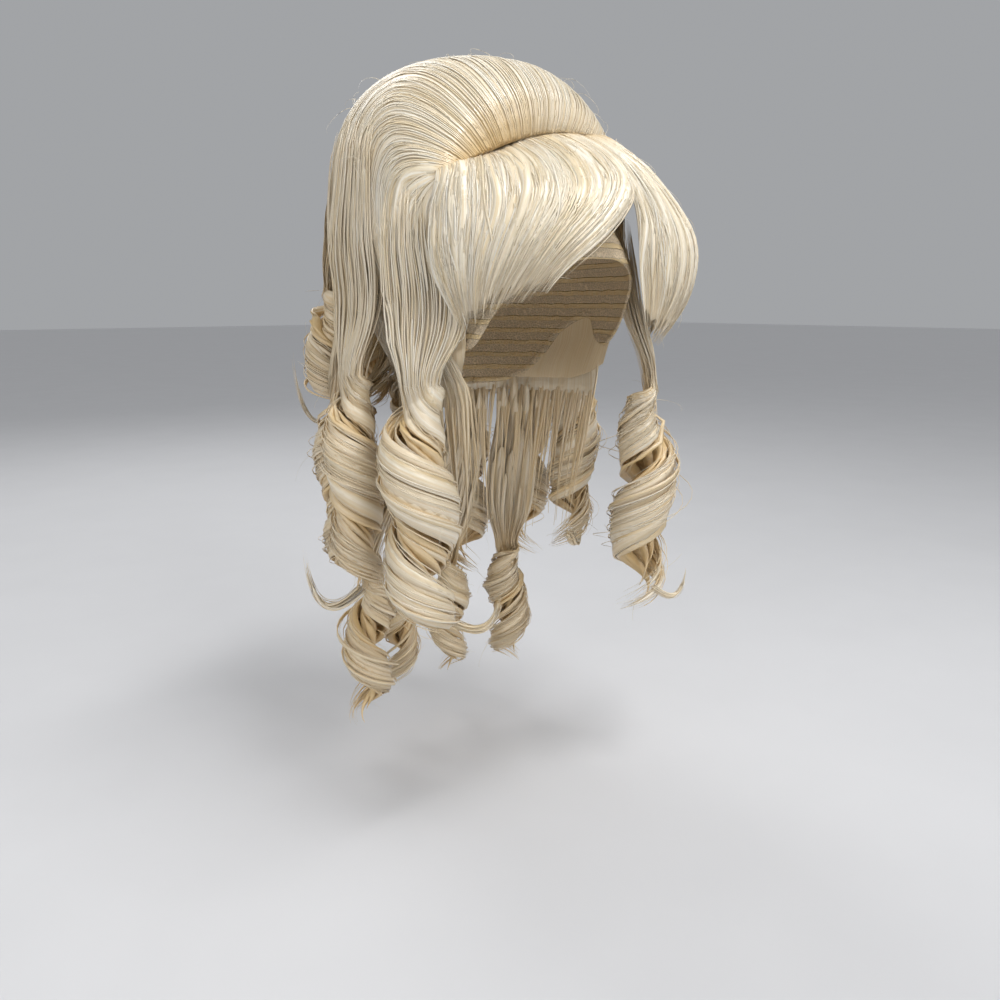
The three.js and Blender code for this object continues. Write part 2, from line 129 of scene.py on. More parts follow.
# Small locks that turn out of a ringlet: where along it, the way they head in degrees from the wearer's
# left towards the back, how far they reach and rise, and how full they are.
FLICKS = {
    "ringlet_right_middle": dict(share=0.99, heading=140, reach=0.047, rise=0.026, body=1.0),
    "ringlet_back_upper_1": dict(share=0.97, heading=146, reach=0.046, rise=0.032, body=0.45),
    "ringlet_right_front": dict(share=0.96, heading=-36, reach=0.044, rise=0.016, body=0.8),
    "ringlet_left_front": dict(share=0.94, heading=-30, reach=0.03, rise=0.014, body=0.5),
    "ringlet_left_middle": dict(share=0.95, heading=30, reach=0.04, rise=0.026, body=0.8),
    "ringlet_back_middle_2": dict(share=0.96, heading=75, reach=0.034, rise=0.02, body=0.6),
}

# What the hair's pattern measures over the crown and over the fringe and wave, in metres across and
# along, and the seed that sets it apart from its neighbours.
CROWN_ACROSS, CROWN_ALONG, CROWN_SEED = 0.4, 0.35, 5
CORE_SEED = 3
SHEET_ACROSS, SHEET_ALONG, SHEET_SEED = 0.18, 0.16, 7

# Faces that meet at less than this share their shading.
SMOOTH_ANGLE = math.radians(40)

# Soft lamps: name, place, width and depth in metres, power in watts.
LAMPS = (
    ("top_light", (0.16, -0.42, 1.15), 0.7, 0.2, 10.5),
    ("key_light", (-0.1, -1.8, 0.9), 0.8, 0.8, 11.0),
    ("side_light", (-1.7, -0.5, 0.5), 1.2, 1.2, 9.5),
    ("back_light", (0.2, 1.6, 1.2), 1.0, 1.0, 12.0),
)
LAMP_AIM = (0.0, 0.03, -0.15)

# The sun's slope, turn and spread, and the camera's dip and turn, are in degrees.
SUN_SLOPE = 52
SUN_TURN = 14
SUN_SPREAD = 50
SUN_POWER = 0.5
ROOM_COLOUR = (0.82, 0.84, 0.87, 1.0)
ROOM_POWER = 0.44
FLOOR_HEIGHT = -0.495
FLOOR_SIZE = 30.0
CAMERA_PLACE = (-0.4528, -0.5206, -0.087)
CAMERA_DIP = 12.9
CAMERA_TURN = -39.7
CAMERA_SENSOR = 36.0
CAMERA_LENS = 0.858 * CAMERA_SENSOR


# Settings in the sidebar


class WigSizes(bpy.types.PropertyGroup):
    head_breadth: bpy.props.FloatProperty(
        name="Head Breadth", description="Breadth of the head that the cap fits",
        default=0.152, unit="LENGTH")
    head_length: bpy.props.FloatProperty(
        name="Head Length", description="Length of the head from forehead to back",
        default=0.192, unit="LENGTH")
    head_height: bpy.props.FloatProperty(
        name="Head Height", description="Height of the head's upper form",
        default=0.18, unit="LENGTH")
    head_tilt: bpy.props.FloatProperty(
        name="Head Tilt", description="How far the head leans back",
        default=math.radians(16), subtype="ANGLE")
    cap_ease: bpy.props.FloatProperty(
        name="Cap Ease", description="Room between the head and the cap", default=0.0015, unit="LENGTH")
    cap_wall: bpy.props.FloatProperty(
        name="Cap Wall", description="Thickness of the cap", default=0.002, unit="LENGTH")
    crown_rise: bpy.props.FloatProperty(
        name="Crown Rise", description="Height of the beehive above the head",
        default=0.097, unit="LENGTH")
    crown_drop: bpy.props.FloatProperty(
        name="Crown Drop", description="Fall of the crown to its edge at the nape",
        default=0.15, unit="LENGTH")
    crown_width: bpy.props.FloatProperty(
        name="Crown Width", description="Width of the crown over the ears",
        default=0.236, unit="LENGTH")
    crown_front: bpy.props.FloatProperty(
        name="Crown Front", description="Reach of the front roll", default=0.055, unit="LENGTH")
    crown_back: bpy.props.FloatProperty(
        name="Crown Back", description="Reach of the crown behind the head",
        default=0.172, unit="LENGTH")
    fringe_thickness: bpy.props.FloatProperty(
        name="Fringe Thickness", description="Thickness of the fringe at its root",
        default=0.011, unit="LENGTH")
    ribbon_thickness: bpy.props.FloatProperty(
        name="Ringlet Thickness", description="Thickness of a ringlet's ribbon of hair",
        default=0.009, unit="LENGTH")


class WigLook(bpy.types.PropertyGroup):
    highlight: bpy.props.FloatVectorProperty(
        name="Highlight", description="Palest colour of the hair", subtype="COLOR", size=3,
        default=(0.88, 0.84, 0.74), min=0.0, max=1.0)
    blonde: bpy.props.FloatVectorProperty(
        name="Blonde", description="Main colour of the hair", subtype="COLOR", size=3,
        default=(0.72, 0.61, 0.42), min=0.0, max=1.0)
    # Gold is the hair's own golden streaks and also the colour of the painted shade in its hollows,
    # undersides and at the parting.
    gold_and_shade: bpy.props.FloatVectorProperty(
        name="Gold", description="Colour of the hair in its hollows and at the parting",
        subtype="COLOR", size=3, default=(0.7, 0.48, 0.2), min=0.0, max=1.0)
    net: bpy.props.FloatVectorProperty(
        name="Net", description="Colour of the cap", subtype="COLOR", size=3,
        default=(0.72, 0.58, 0.4), min=0.0, max=1.0)
    gloss: bpy.props.FloatProperty(
        name="Roughness", description="Roughness of the hair",
        default=0.34, min=0.0, max=1.0, subtype="FACTOR")
    floor: bpy.props.FloatVectorProperty(
        name="Floor", description="Colour of the floor", subtype="COLOR", size=3,
        default=(0.62, 0.62, 0.63), min=0.0, max=1.0)


# Shader nodes written as sums


class Wire:
    """A socket of a shader, on which sums add their own nodes."""

    def __init__(self, paint, socket):
        self.paint = paint
        self.socket = socket

    def sum(self, operation, first, second):
        made = self.paint.node("ShaderNodeMath", {"operation": operation}, {0: first, 1: second})
        return made[0]

    def __add__(self, other):
        return self.sum("ADD", self, other)

    def __radd__(self, other):
        return self.sum("ADD", other, self)

    def __mul__(self, other):
        return self.sum("MULTIPLY", self, other)

    def __rmul__(self, other):
        return self.sum("MULTIPLY", other, self)


class Paint:
    """A material and its node tree."""

    def __init__(self, name):
        self.material = bpy.data.materials.new(name)
        self.material.use_nodes = True
        self.tree = self.material.node_tree
        self.shader = self.tree.nodes["Principled BSDF"]

    def node(self, kind, settings=None, sockets=None):
        """A node of a kind, with its settings and then the values or links of its sockets."""
        made = self.tree.nodes.new(kind)
        for key, value in (settings or {}).items():
            if key == "stops":
                ramp = made.color_ramp
                while len(ramp.elements) < len(value):
                    ramp.elements.new(1.0)
                for element, (place, colour) in zip(ramp.elements, value):
                    element.position = place
                    element.color = colour
            else:
                setattr(made, key, value)
        for key, value in (sockets or {}).items():
            if isinstance(value, Wire):
                self.tree.links.new(value.socket, made.inputs[key])
            else:
                made.inputs[key].default_value = value
        return [Wire(self, socket) for socket in made.outputs]

    def set(self, **values):
        for key, value in values.items():
            name = key.replace("_", " ").title().replace("Ior", "IOR")
            if isinstance(value, Wire):
                self.tree.links.new(value.socket, self.shader.inputs[name])
            else:
                self.shader.inputs[name].default_value = value

    def stretched(self, vector, scale):
        return self.node("ShaderNodeVectorMath", {"operation": "MULTIPLY"}, {0: vector, 1: scale})[0]

    def noise(self, vector, scale=1.0, detail=2.0, roughness=0.5):
        sockets = {"Vector": vector, "Scale": scale, "Detail": detail, "Roughness": roughness}
        return self.node("ShaderNodeTexNoise", None, sockets)[0]

    def ramp(self, factor, stops):
        grey = [(place, (value, value, value, 1.0)) for place, value in stops]
        return self.node("ShaderNodeValToRGB", {"stops": grey}, {"Fac": factor})[0]

    def mix(self, factor, first, second):
        """Two colours, each a socket or three parts, mixed by a factor."""
        first, second = (part if isinstance(part, Wire) else (*part, 1.0) for part in (first, second))
        return self.node("ShaderNodeMix", {"data_type": "RGBA"}, {0: factor, 6: first, 7: second})[2]

    def bump(self, height, distance, strength):
        sockets = {"Height": height, "Distance": distance, "Strength": strength}
        return self.node("ShaderNodeBump", None, sockets)[0]


def hair_material(name, look):
    """Glossy blonde fibre, streaked along the flow attribute, with painted shade in gold where the shade
    attribute is high.
    """
    paint = Paint(name)
    flow = paint.node("ShaderNodeAttribute", {"attribute_name": "flow"})[1]
    shade = paint.node("ShaderNodeAttribute", {"attribute_name": "shade"})[2]
    hair = paint.noise(paint.stretched(flow, (1150.0, 9.0, 3.0)), detail=2.0, roughness=0.6)
    locks = paint.noise(paint.stretched(flow, (420.0, 7.0, 1.7)), detail=2.0)
    bands = paint.noise(paint.stretched(flow, (85.0, 5.0, 0.9)), detail=1.0)
    pale = paint.ramp(locks * 0.7 + bands * 0.3, [(0.36, 0.0), (0.62, 1.0)])
    colour = paint.mix(pale, look.blonde, look.highlight)
    fine = paint.ramp(hair, [(0.32, 1.0), (0.54, 0.0)]) * 0.4
    colour = paint.mix(fine, colour, look.gold_and_shade)
    warm = paint.ramp(bands, [(0.5, 0.0), (0.75, 1.0)]) * 0.2
    colour = paint.mix(warm, colour, look.gold_and_shade)
    # Painted shade: the shade attribute mixes in gold at the parting, in hollows and on undersides.
    colour = paint.mix(shade * 0.8, colour, look.gold_and_shade)
    normal = paint.bump(hair * 0.55 + locks * 0.8, 0.0011, 0.4)
    roughness = hair * 0.18 + (look.gloss - 0.09)
    paint.set(base_color=colour, roughness=roughness, normal=normal)
    paint.set(specular_ior_level=0.8, anisotropic=0.45)
    return paint.material


def net_material(name, look):
    """Stretch net with rows of wefts sewn round it."""
    paint = Paint(name)
    place = paint.node("ShaderNodeTexCoord")[3]
    holes = paint.node(
        "ShaderNodeTexVoronoi", {"feature": "DISTANCE_TO_EDGE"}, {"Vector": place, "Scale": 420.0})[0]
    threads = paint.ramp(holes, [(0.03, 1.0), (0.16, 0.0)])
    rows = paint.node(
        "ShaderNodeTexWave", {"wave_type": "BANDS", "bands_direction": "Z"},
        {"Vector": place, "Scale": 30.0, "Distortion": 0.7, "Detail": 1.0, "Detail Scale": 3.0})[1]
    weft = paint.ramp(rows, [(0.66, 0.0), (0.78, 1.0)])
    strands = paint.noise(paint.stretched(place, (700.0, 700.0, 90.0)), detail=2.0)
    dark = tuple(0.72 * part for part in look.net)
    colour = paint.mix(threads, dark, look.net)
    sewn = paint.mix(strands, look.gold_and_shade, look.blonde)
    colour = paint.mix(weft, colour, sewn)
    normal = paint.bump(threads * 0.4 + weft * 1.6 + strands * weft * 0.8, 0.0012, 0.9)
    paint.set(base_color=colour, roughness=weft * -0.2 + 0.8, normal=normal, specular_ior_level=0.3)
    return paint.material


def floor_material(look):
    """Plain pale floor with the slightest grain."""
    paint = Paint("pale_floor")
    place = paint.node("ShaderNodeTexCoord")[3]
    grain = paint.noise(place, scale=9.0, detail=3.0)
    paler = tuple(min(1.0, 1.06 * part) for part in look.floor)
    paint.set(base_color=paint.mix(grain, look.floor, paler), roughness=0.75, specular_ior_level=0.2)
    return paint.material


# Forms of the hair


def eased(value, low, high):
    share = np.clip((value - low) / (high - low), 0.0, 1.0)
    return share * share * (3.0 - 2.0 * share)


def unit(vectors):
    return vectors / np.maximum(np.linalg.norm(vectors, axis=-1, keepdims=True), 1e-12)


def smooth_between(pick, start, count, t):
    """The smooth curve at t between a row and the next, where pick gives the rows near the start."""
    a, b = pick(0), pick(1)
    first = np.where((start > 0)[..., None], pick(-1), 2 * a - b)
    last = np.where((start < count - 2)[..., None], pick(2), 2 * b - a)
    return 0.5 * (2 * a + (b - first) * t + (2 * first - 5 * a + 4 * b - last) * t**2
                  + (3 * a - first - 3 * b + last) * t**3)


def spline(points, shares):
    """Smooth curves through rows of points, read at the given shares of their length."""
    points = np.asarray(points, float)
    count = points.shape[-2]
    place = np.clip(np.asarray(shares, float), 0.0, 1.0) * (count - 1)
    start = np.clip(place.astype(int), 0, count - 2)

    def pick(k):
        return points[np.clip(start + k, 0, count - 1)]

    return smooth_between(pick, start, count, (place - start)[..., None])


def section_columns(height):
    """Width, front, back and corner of the crown at a height, on smooth curves through the rows."""
    rows = CROWN_SECTIONS
    heights = rows[:, 0]
    slopes = np.empty_like(rows)
    slopes[1:-1] = (rows[2:] - rows[:-2]) / (heights[2:] - heights[:-2])[:, None]
    slopes[0] = (rows[1] - rows[0]) / (heights[1] - heights[0])
    slopes[-1] = (rows[-1] - rows[-2]) / (heights[-1] - heights[-2])
    place = np.clip(height, heights[0], heights[-1])
    i = np.clip(np.searchsorted(heights, place) - 1, 0, len(rows) - 2)
    span = (heights[i + 1] - heights[i])[..., None]
    t = ((place - heights[i]) / span[..., 0])[..., None]
    bend = (1 - t) * t * span * ((1 - t) * slopes[i] - t * slopes[i + 1])
    made = rows[i] + (rows[i + 1] - rows[i]) * t * t * (3 - 2 * t) + bend
    return made[..., 1], made[..., 2], made[..., 3], made[..., 4]


class Crown:
    """The outer surface of the beehive and of the hair that falls behind the ears."""

    heart = np.array([0.0, 0.05, 0.0])

    def __init__(self, sizes):
        self.sizes = sizes
        self.top = CROWN_SECTIONS[-1, 0] * sizes.crown_rise
        heights = np.linspace(-1.0, CROWN_SECTIONS[-1, 0], 600)
        self.table = heights, np.array(section_columns(heights))

    def columns(self, z):
        sizes = self.sizes
        height = np.where(z > 0, z / sizes.crown_rise, z / sizes.crown_drop)
        width, front, back, corner = (np.interp(height, self.table[0], column) for column in self.table[1])
        above = np.clip((z - self.top) / 0.0015, 0.0, 1.0)
        half = width * sizes.crown_width / 2 * (1 - above) + 1e-4
        ahead = -front * sizes.crown_front
        behind = back * sizes.crown_back
        middle = (ahead + behind) / 2
        depth = (behind - ahead) / 2 * (1 - above) + 1e-4
        return half, middle, depth, corner

    def point(self, around, z, out=0.0):
        half, middle, depth, corner = self.columns(z)
        side, ahead = np.sin(around), np.cos(around)
        power = np.where(ahead > 0, 2 / corner, 1.0)
        x = -(half + out) * np.sign(side) * np.abs(side) ** power
        y = middle - (depth + out) * np.sign(ahead) * np.abs(ahead) ** power
        return np.stack([x, y, np.broadcast_to(z, x.shape)], -1)

    def excess(self, points):
        """Below nought inside the surface and above it outside."""
        half, middle, depth, corner = self.columns(points[..., 2])
        offset = points[..., 1] - middle
        power = np.where(offset < 0, corner, 2.0)
        across = np.minimum(np.abs(points[..., 0]) / half, 60.0)
        along = np.minimum(np.abs(offset) / depth, 60.0)
        return (across**power + along**power) ** (1 / power) - 1

    def normal(self, points):
        step = 0.0008
        parts = []
        for axis in range(3):
            move = np.zeros(3)
            move[axis] = step
            parts.append(self.excess(points + move) - self.excess(points - move))
        return unit(np.stack(parts, -1))

    def project(self, points):
        """Points moved on to the surface along rays from the heart of the crown."""
        rays = unit(points - self.heart)
        low = np.full(rays.shape[:-1], 0.01)
        high = np.full(rays.shape[:-1], 0.32)
        for _ in range(26):
            middle = (low + high) / 2
            inside = self.excess(self.heart + rays * middle[..., None]) < 0
            low = np.where(inside, middle, low)
            high = np.where(inside, high, middle)
        return self.heart + rays * high[..., None]

    def combed(self, share, along):
        """Hair combed from the parting over the crown to its lower edge, at shares across and along."""
        share = np.asarray(share, float)
        root = spline(PARTING, share)
        # Over the crown the strands fan out from the wearer's right to the left
        swing = np.radians(-20 + 220 * share)
        lean = -0.45 + 0.62 * np.sin(np.pi * share)
        over = np.stack([-np.cos(swing), lean, np.sin(swing)], -1)
        # They end at the lower edge, which runs from cheek to cheek round the back
        lower = np.radians(45 + 270 * share)
        rim = self.point(lower, np.full(share.shape, -self.sizes.crown_drop))
        start = unit(root - self.heart)
        end = unit(rim - self.heart)
        bulge = 2 * unit(over) - (start + end) / 2
        t = np.clip(along, 0.0, 1.0)[..., None]
        rays = unit((1 - t) ** 2 * start + 2 * t * (1 - t) * bulge + t**2 * end)
        surface = self.project(self.heart + rays * 0.1)
        # Beside the parting they leave the surface for their roots
        tuck = (1 - eased(along, -0.01, 0.055))[..., None]
        surface = surface * (1 - tuck) + root * tuck
        # Past the edge they hang down and a little inwards
        past = np.clip(along - 1, 0.0, None)
        inward = unit((self.heart - rim) * (1, 1, 0))
        return surface + inward * (past * 0.05)[..., None] - np.array([0.0, 0.0, 0.33]) * past[..., None]


def paced(share):
    """Shares that pass slowly over the roll, where combed hair bends most."""
    return np.interp(share, [0.0, 0.22, 0.78, 1.0], [0.0, 0.14, 0.68, 1.0])


def fall(across):
    """How far down the crown its hair reaches: all the way, but for the wisps beside the face."""
    return 0.5 + 0.5 * eased(np.minimum(across, 1 - across), -0.08, 0.07)


class Sheet:
    """A sheet of hair through rows of paths, and the way its strands run over it."""

    def __init__(self, rows, scale):
        rows = rows * scale
        tucked = rows[:, :1] + (0.0, 0.014, 0.003)
        self.rows = np.concatenate([tucked, rows], 1)

    def point(self, across, along):
        across, along = np.broadcast_arrays(across, along)
        flat_across, flat_along = across.ravel(), along.ravel()
        lines = np.stack([spline(row, flat_along) for row in self.rows], -2)
        count = len(self.rows)
        place = np.clip(flat_across, 0.0, 1.0) * (count - 1)
        start = np.clip(place.astype(int), 0, count - 2)
        index = np.arange(len(place))

        def pick(k):
            return lines[index, np.clip(start + k, 0, count - 1)]

        made = smooth_between(pick, start, count, (place - start)[:, None])
        return made.reshape(across.shape + (3,))

    def normal(self, across, along):
        step = 0.01
        left, right = np.minimum(across + step, 1.0), np.maximum(across - step, 0.0)
        lower, upper = np.minimum(along + step, 1.0), np.maximum(along - step, 0.0)
        side = self.point(left, along) - self.point(right, along)
        down = self.point(across, lower) - self.point(across, upper)
        return unit(np.cross(side, -down))


class Ringlet:
    """A lock that lies on the crown, lifts off it and coils down to its tip."""

    gap = 0.00035

    def __init__(self, row, crown, sizes):
        row = dict(zip(RINGLET_COLUMNS, row))
        self.row = row
        self.crown = crown
        self.sizes = sizes
        self.half = sizes.crown_width / 2
        self.straight = (row["root"] - row["curl"]) / (row["root"] - row["tip"])
        self.length = (row["root"] - row["tip"]) * sizes.crown_drop
        around = np.radians(row["around"])
        widest = np.array(-0.3 * sizes.crown_drop)
        seat = self.crown.point(around, widest)
        self.outward = unit(self.crown.point(around, widest, 0.01) - seat)
        self.axis_seat = self.crown.point(around, widest, row["out"] * self.half)
        self.around = around

    def middle(self, share, lag=0.0, swell=1.0):
        """The middle line and the way that the ribbon faces."""
        row, drop, half = self.row, self.sizes.crown_drop, self.half
        root, curl, tip = row["root"] * drop, row["curl"] * drop, row["tip"] * drop
        z = root + (tip - root) * share
        # The lock lies on the crown at its root and eases out to the upright axis of its coil
        hangs = eased(root - z, 0.0, root - curl)[..., None]
        seat = self.crown.point(self.around, np.clip(z, -drop, root + 0.03))
        seat = seat + self.outward * (self.gap + self.sizes.ribbon_thickness / 2)
        swing = eased(curl - z, 0.0, curl - tip) * row["sway"] * half
        axis = self.axis_seat + self.outward * swing[..., None]
        centre = seat * (1 - hangs) + axis * hangs
        # The coil opens over its first turn and draws in towards the tip
        turned = np.maximum(0.0, (curl - z) / (curl - tip))
        opened = eased(turned, 0.0, 0.75 / row["turns"]) * (1 - 0.2 * turned)
        angle = math.atan2(self.outward[1], self.outward[0])
        angle = angle + row["hand"] * (turned * row["turns"] + lag * opened) * 2 * np.pi
        spoke = np.stack([np.cos(angle), np.sin(angle), np.zeros_like(angle)], -1)
        centre = centre + spoke * (opened * row["radius"] * half * swell)[..., None]
        centre[..., 2] = z
        blend = eased(opened, 0.0, 0.7)[..., None]
        return centre, unit(self.outward * (1 - blend) + spoke * blend)

    def ribbon(self, share, lag=0.0, swell=1.0):
        """Middle, side and face of the ribbon, with its half width and half thickness."""
        step = 0.012
        centre, facing = self.middle(share, lag, swell)
        before, _ = self.middle(share - step, lag, swell)
        after, _ = self.middle(share + step, lag, swell)
        down = unit(after - before)
        side = unit(np.cross(down, facing))
        face = unit(np.cross(side, down))
        reach = np.linalg.norm(after - before, axis=-1) / 2
        # How sharply the middle line bends towards its side, as one part in its radius
        bend = np.sum((after + before - 2 * centre) * side, -1) / reach**2
        # It is full down to the last fifth, wide over the straight length and drawn in above the coil
        body = np.clip((1 - share) / 0.2, 0.0, 1.0) ** 0.7
        thick = self.sizes.ribbon_thickness * (0.35 + 0.65 * body)
        spread = 1.3 - 0.3 * eased(share, self.straight * 0.7, self.straight * 1.1)
        rooted = 0.75 + 0.25 * eased(share, 0.0, self.straight * 0.6)
        waist = 1 - 0.42 * np.exp(-((share - self.straight - 0.01) / 0.08) ** 2)
        wide = self.row["width"] * self.half / 2 * (0.12 + 0.88 * body) * spread
        return centre, side, face, wide * rooted * waist, thick / 2, bend


# Meshes


class HairMesh:
    """Closed strands and locks gathered into one mesh, with the attributes its material reads."""

    def __init__(self):
        self.points = []
        self.corners = []
        self.sizes = []
        self.flow = []
        self.shade = []
        self.count = 0

    def sweep(self, centres, side, up, wide, thick, sides, across, along, seed, shade):
        """Closed tubes along rows of centres. Shade holds that of their outer and their inner side."""
        rows, steps = centres.shape[:2]
        turn = (np.arange(sides) + 0.5) * 2 * np.pi / sides
        swell = 1 / math.cos(math.pi / sides)
        reach = np.cos(turn) * swell
        lift = np.sin(turn)
        points = (centres[:, :, None]
                  + side[:, :, None] * (wide[:, :, None] * reach)[..., None]
                  + up[:, :, None] * (thick[:, :, None] * lift)[..., None])
        flow = np.empty(points.shape)
        flow[..., 0] = across[:, None, None] + wide[:, :, None] * reach
        flow[..., 1] = along[:, :, None]
        flow[..., 2] = seed[:, None, None]
        under = np.where(lift < 0, 1.0, 0.0)
        shading = shade[0][:, :, None] * (1 - under) + shade[1][:, :, None] * under
        grid = self.count + np.arange(rows * steps * sides).reshape(rows, steps, sides)
        after = np.roll(grid, -1, axis=2)
        quads = np.stack([grid[:, :-1], after[:, :-1], after[:, 1:], grid[:, 1:]], -1).reshape(-1, 4)
        handed = np.sum(np.cross(side, up) * np.gradient(centres, axis=1), -1).mean() > 0
        ends = [grid[:, 0, ::-1], grid[:, -1]]
        if not handed:
            quads = quads[:, ::-1]
            ends = [end[:, ::-1] for end in ends]
        self.corners.append(quads.ravel())
        self.sizes.append(np.full(len(quads), 4))
        for end in ends:
            self.corners.append(end.ravel())
            self.sizes.append(np.full(rows, sides))
        self.points.append(points.reshape(-1, 3))
        self.flow.append(flow.reshape(-1, 3))
        self.shade.append(np.clip(shading, 0, 1).reshape(-1))
        self.count += points.reshape(-1, 3).shape[0]

    def build(self, name, material):
        mesh = bpy.data.meshes.new(name)
        points = np.concatenate(self.points)
        corners = np.concatenate(self.corners)
        sizes = np.concatenate(self.sizes)
        mesh.vertices.add(len(points))
        mesh.vertices.foreach_set("co", points.ravel())
        mesh.loops.add(len(corners))
        mesh.loops.foreach_set("vertex_index", corners)
        mesh.polygons.add(len(sizes))
        mesh.polygons.foreach_set("loop_start", np.concatenate([[0], np.cumsum(sizes)[:-1]]))
        mesh.polygons.foreach_set("loop_total", sizes)
        mesh.polygons.foreach_set("use_smooth", np.ones(len(sizes), bool))
        mesh.update(calc_edges=True)
        write_flow(mesh, np.concatenate(self.flow), np.concatenate(self.shade))
        made = bpy.data.objects.new(name, mesh)
        bpy.context.collection.objects.link(made)
        mesh.materials.append(material)
        return made


def write_flow(mesh, flow, shade):
    """The attributes that the hair's material reads at each vertex."""
    layer = mesh.attributes.new("flow", "FLOAT_VECTOR", "POINT")
    layer.data.foreach_set("vector", np.asarray(flow, float).ravel())
    layer = mesh.attributes.new("shade", "FLOAT", "POINT")
    layer.data.foreach_set("value", np.asarray(shade, float).ravel())


def select_only(piece):
    bpy.ops.object.select_all(action="DESELECT")
    piece.select_set(True)
    bpy.context.view_layer.objects.active = piece


def apply_modifier(piece, kind, **settings):
    select_only(piece)
    bpy.ops.object.modifier_add(type=kind)
    added = piece.modifiers[-1]
    for key, value in settings.items():
        setattr(added, key, value)
    bpy.ops.object.modifier_apply(modifier=added.name)


def hair_bed(name, across, along, form, thickness, material, way=-1.0):
    """A closed sheet under the locks. At shares across and along, form gives place, flow, shade and body."""
    bpy.ops.object.select_all(action="DESELECT")
    bpy.ops.mesh.primitive_grid_add(x_subdivisions=across, y_subdivisions=along, size=1.0)
    piece = bpy.context.object
    piece.name = name
    mesh = piece.data
    mesh.name = name
    spots = np.empty(len(mesh.vertices) * 3)
    mesh.vertices.foreach_get("co", spots)
    spots = spots.reshape(-1, 3) + 0.5
    points, flow, shade, body = form(np.clip(spots[:, 0], 0, 1), np.clip(spots[:, 1], 0, 1))
    mesh.vertices.foreach_set("co", points.ravel())
    write_flow(mesh, flow, shade)
    mesh.materials.append(material)
    group = piece.vertex_groups.new(name="body")
    for level in range(11):
        chosen = np.nonzero(np.round(body * 10) == level)[0]
        group.add([int(k) for k in chosen], level / 10, "REPLACE")
    apply_modifier(piece, "SOLIDIFY", thickness=thickness, offset=way, vertex_group="body",
                   thickness_vertex_group=0.06)
    piece.vertex_groups.clear()
    select_only(piece)
    bpy.ops.object.mode_set(mode="EDIT")
    bpy.ops.mesh.select_all(action="SELECT")
    bpy.ops.mesh.normals_make_consistent(inside=False)
    bpy.ops.object.mode_set(mode="OBJECT")
    bpy.ops.object.shade_smooth()
    return piece


def ridges(across, along, count, seed):
    """Rounded locks side by side, from nought in the furrows to one on the ridges."""
    drift = 0.6 * np.sin(seed + along * 5.0 + across * 3.0)
    drift = drift + 0.4 * np.sin(seed * 2.3 + along * 11.0 + across * 9.0)
    uneven = 1.2 * np.sin(seed * 1.7 + across * 19.0) + 0.8 * np.sin(seed * 3.1 + across * 43.0)
    return np.abs(np.sin(np.pi * count * across + drift + uneven)) ** 0.7


def flow_of(across, along, seed):
    """The flow attribute: metres across the hair, metres along it, and a seed for its pattern."""
    return np.stack(np.broadcast_arrays(across, along, np.asarray(float(seed))), -1)


def frames_along(centres, facing):
    """The sideways and upward directions of strands that face a given way."""
    run = unit(np.gradient(centres, axis=1))
    side = unit(np.cross(run, facing))
    return side, unit(np.cross(side, run))


def twisted(side, up, twist):
    """The sideways and upward directions of strands after a twist about their run."""
    cosine, sine = np.cos(twist)[..., None], np.sin(twist)[..., None]
    return side * cosine + up * sine, up * cosine - side * sine


def room_beside(bend):
    """How far hair can lie sideways into a bend without folding over, eased along each row."""
    room = 0.75 / np.maximum(np.abs(bend), 1e-4)
    for _ in range(14):
        room[:, 1:] = np.minimum(room[:, 1:], room[:, :-1] * 1.08)
        room[:, :-1] = np.minimum(room[:, :-1], room[:, 1:] * 1.08)
    return room


def stray_hairs(made, rng, roots, ways, reach, sag):
    """Fine hairs that leave the surface at the roots and curl back over it."""
    rows = len(roots)
    t = np.linspace(0.0, 1.0, 11)[None]
    turn = rng.uniform(-1.0, 1.0, (rows, 3)) * 0.6
    bent = unit(ways + turn)[:, None]
    swirl = unit(np.cross(ways, turn))[:, None]
    size = reach * rng.uniform(0.4, 1.0, (rows, 1))
    phase = rng.uniform(1.5, 4.0, (rows, 1))
    centres = roots[:, None] + bent * (size * np.sin(t * 2.2) * 0.6)[..., None]
    centres = centres + swirl * (size * (1 - np.cos(t * phase)))[..., None]
    centres[..., 2] -= sag * size * t**2
    side, up = frames_along(centres, swirl + 0.3 * bent)
    fine = 0.00011 * np.clip(1.3 - t, 0.3, 1.0) * np.ones((rows, 1))
    unshaded = fine * 0
    made.sweep(centres, side, up, fine, fine, 3, np.zeros(rows), t * size, rng.uniform(0, 40, rows),
               (unshaded, unshaded))


def joined(name, pieces):
    bpy.ops.object.select_all(action="DESELECT")
    for piece in pieces:
        piece.select_set(True)
    bpy.context.view_layer.objects.active = pieces[0]
    bpy.ops.object.join()
    made = bpy.context.object
    made.name = name
    made.data.name = name
    return made


def settle(piece, node):
    """Let a finished piece ride on the wig in place of its solid."""
    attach(piece, "root")
    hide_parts(node)


def wander(rng, rows, along, size, waves=2.0):
    """A slow drift for each row, none at its root."""
    phase = rng.uniform(0, 2 * np.pi, (rows, 1))
    other = rng.uniform(0, 2 * np.pi, (rows, 1))
    drift = np.sin(phase + along * np.pi * waves) * 0.7
    drift = drift + np.sin(other + along * np.pi * waves * 2.3) * 0.3
    return drift * size * eased(along, 0.0, 0.25)


def head_halves(sizes):
    """Half the breadth, length and height of the head's upper form."""
    return np.array([sizes.head_breadth, sizes.head_length, sizes.head_height]) / 2


def shared_material(name, maker):
    """A material that several pieces share, made once."""
    if name in bpy.data.materials:
        return bpy.data.materials[name]
    return maker(name, bpy.context.scene.wig_look)


def combed_hair():
    return shared_material("combed_hair", hair_material)


def cap_net():
    return shared_material("cap_net", net_material)


# Pieces


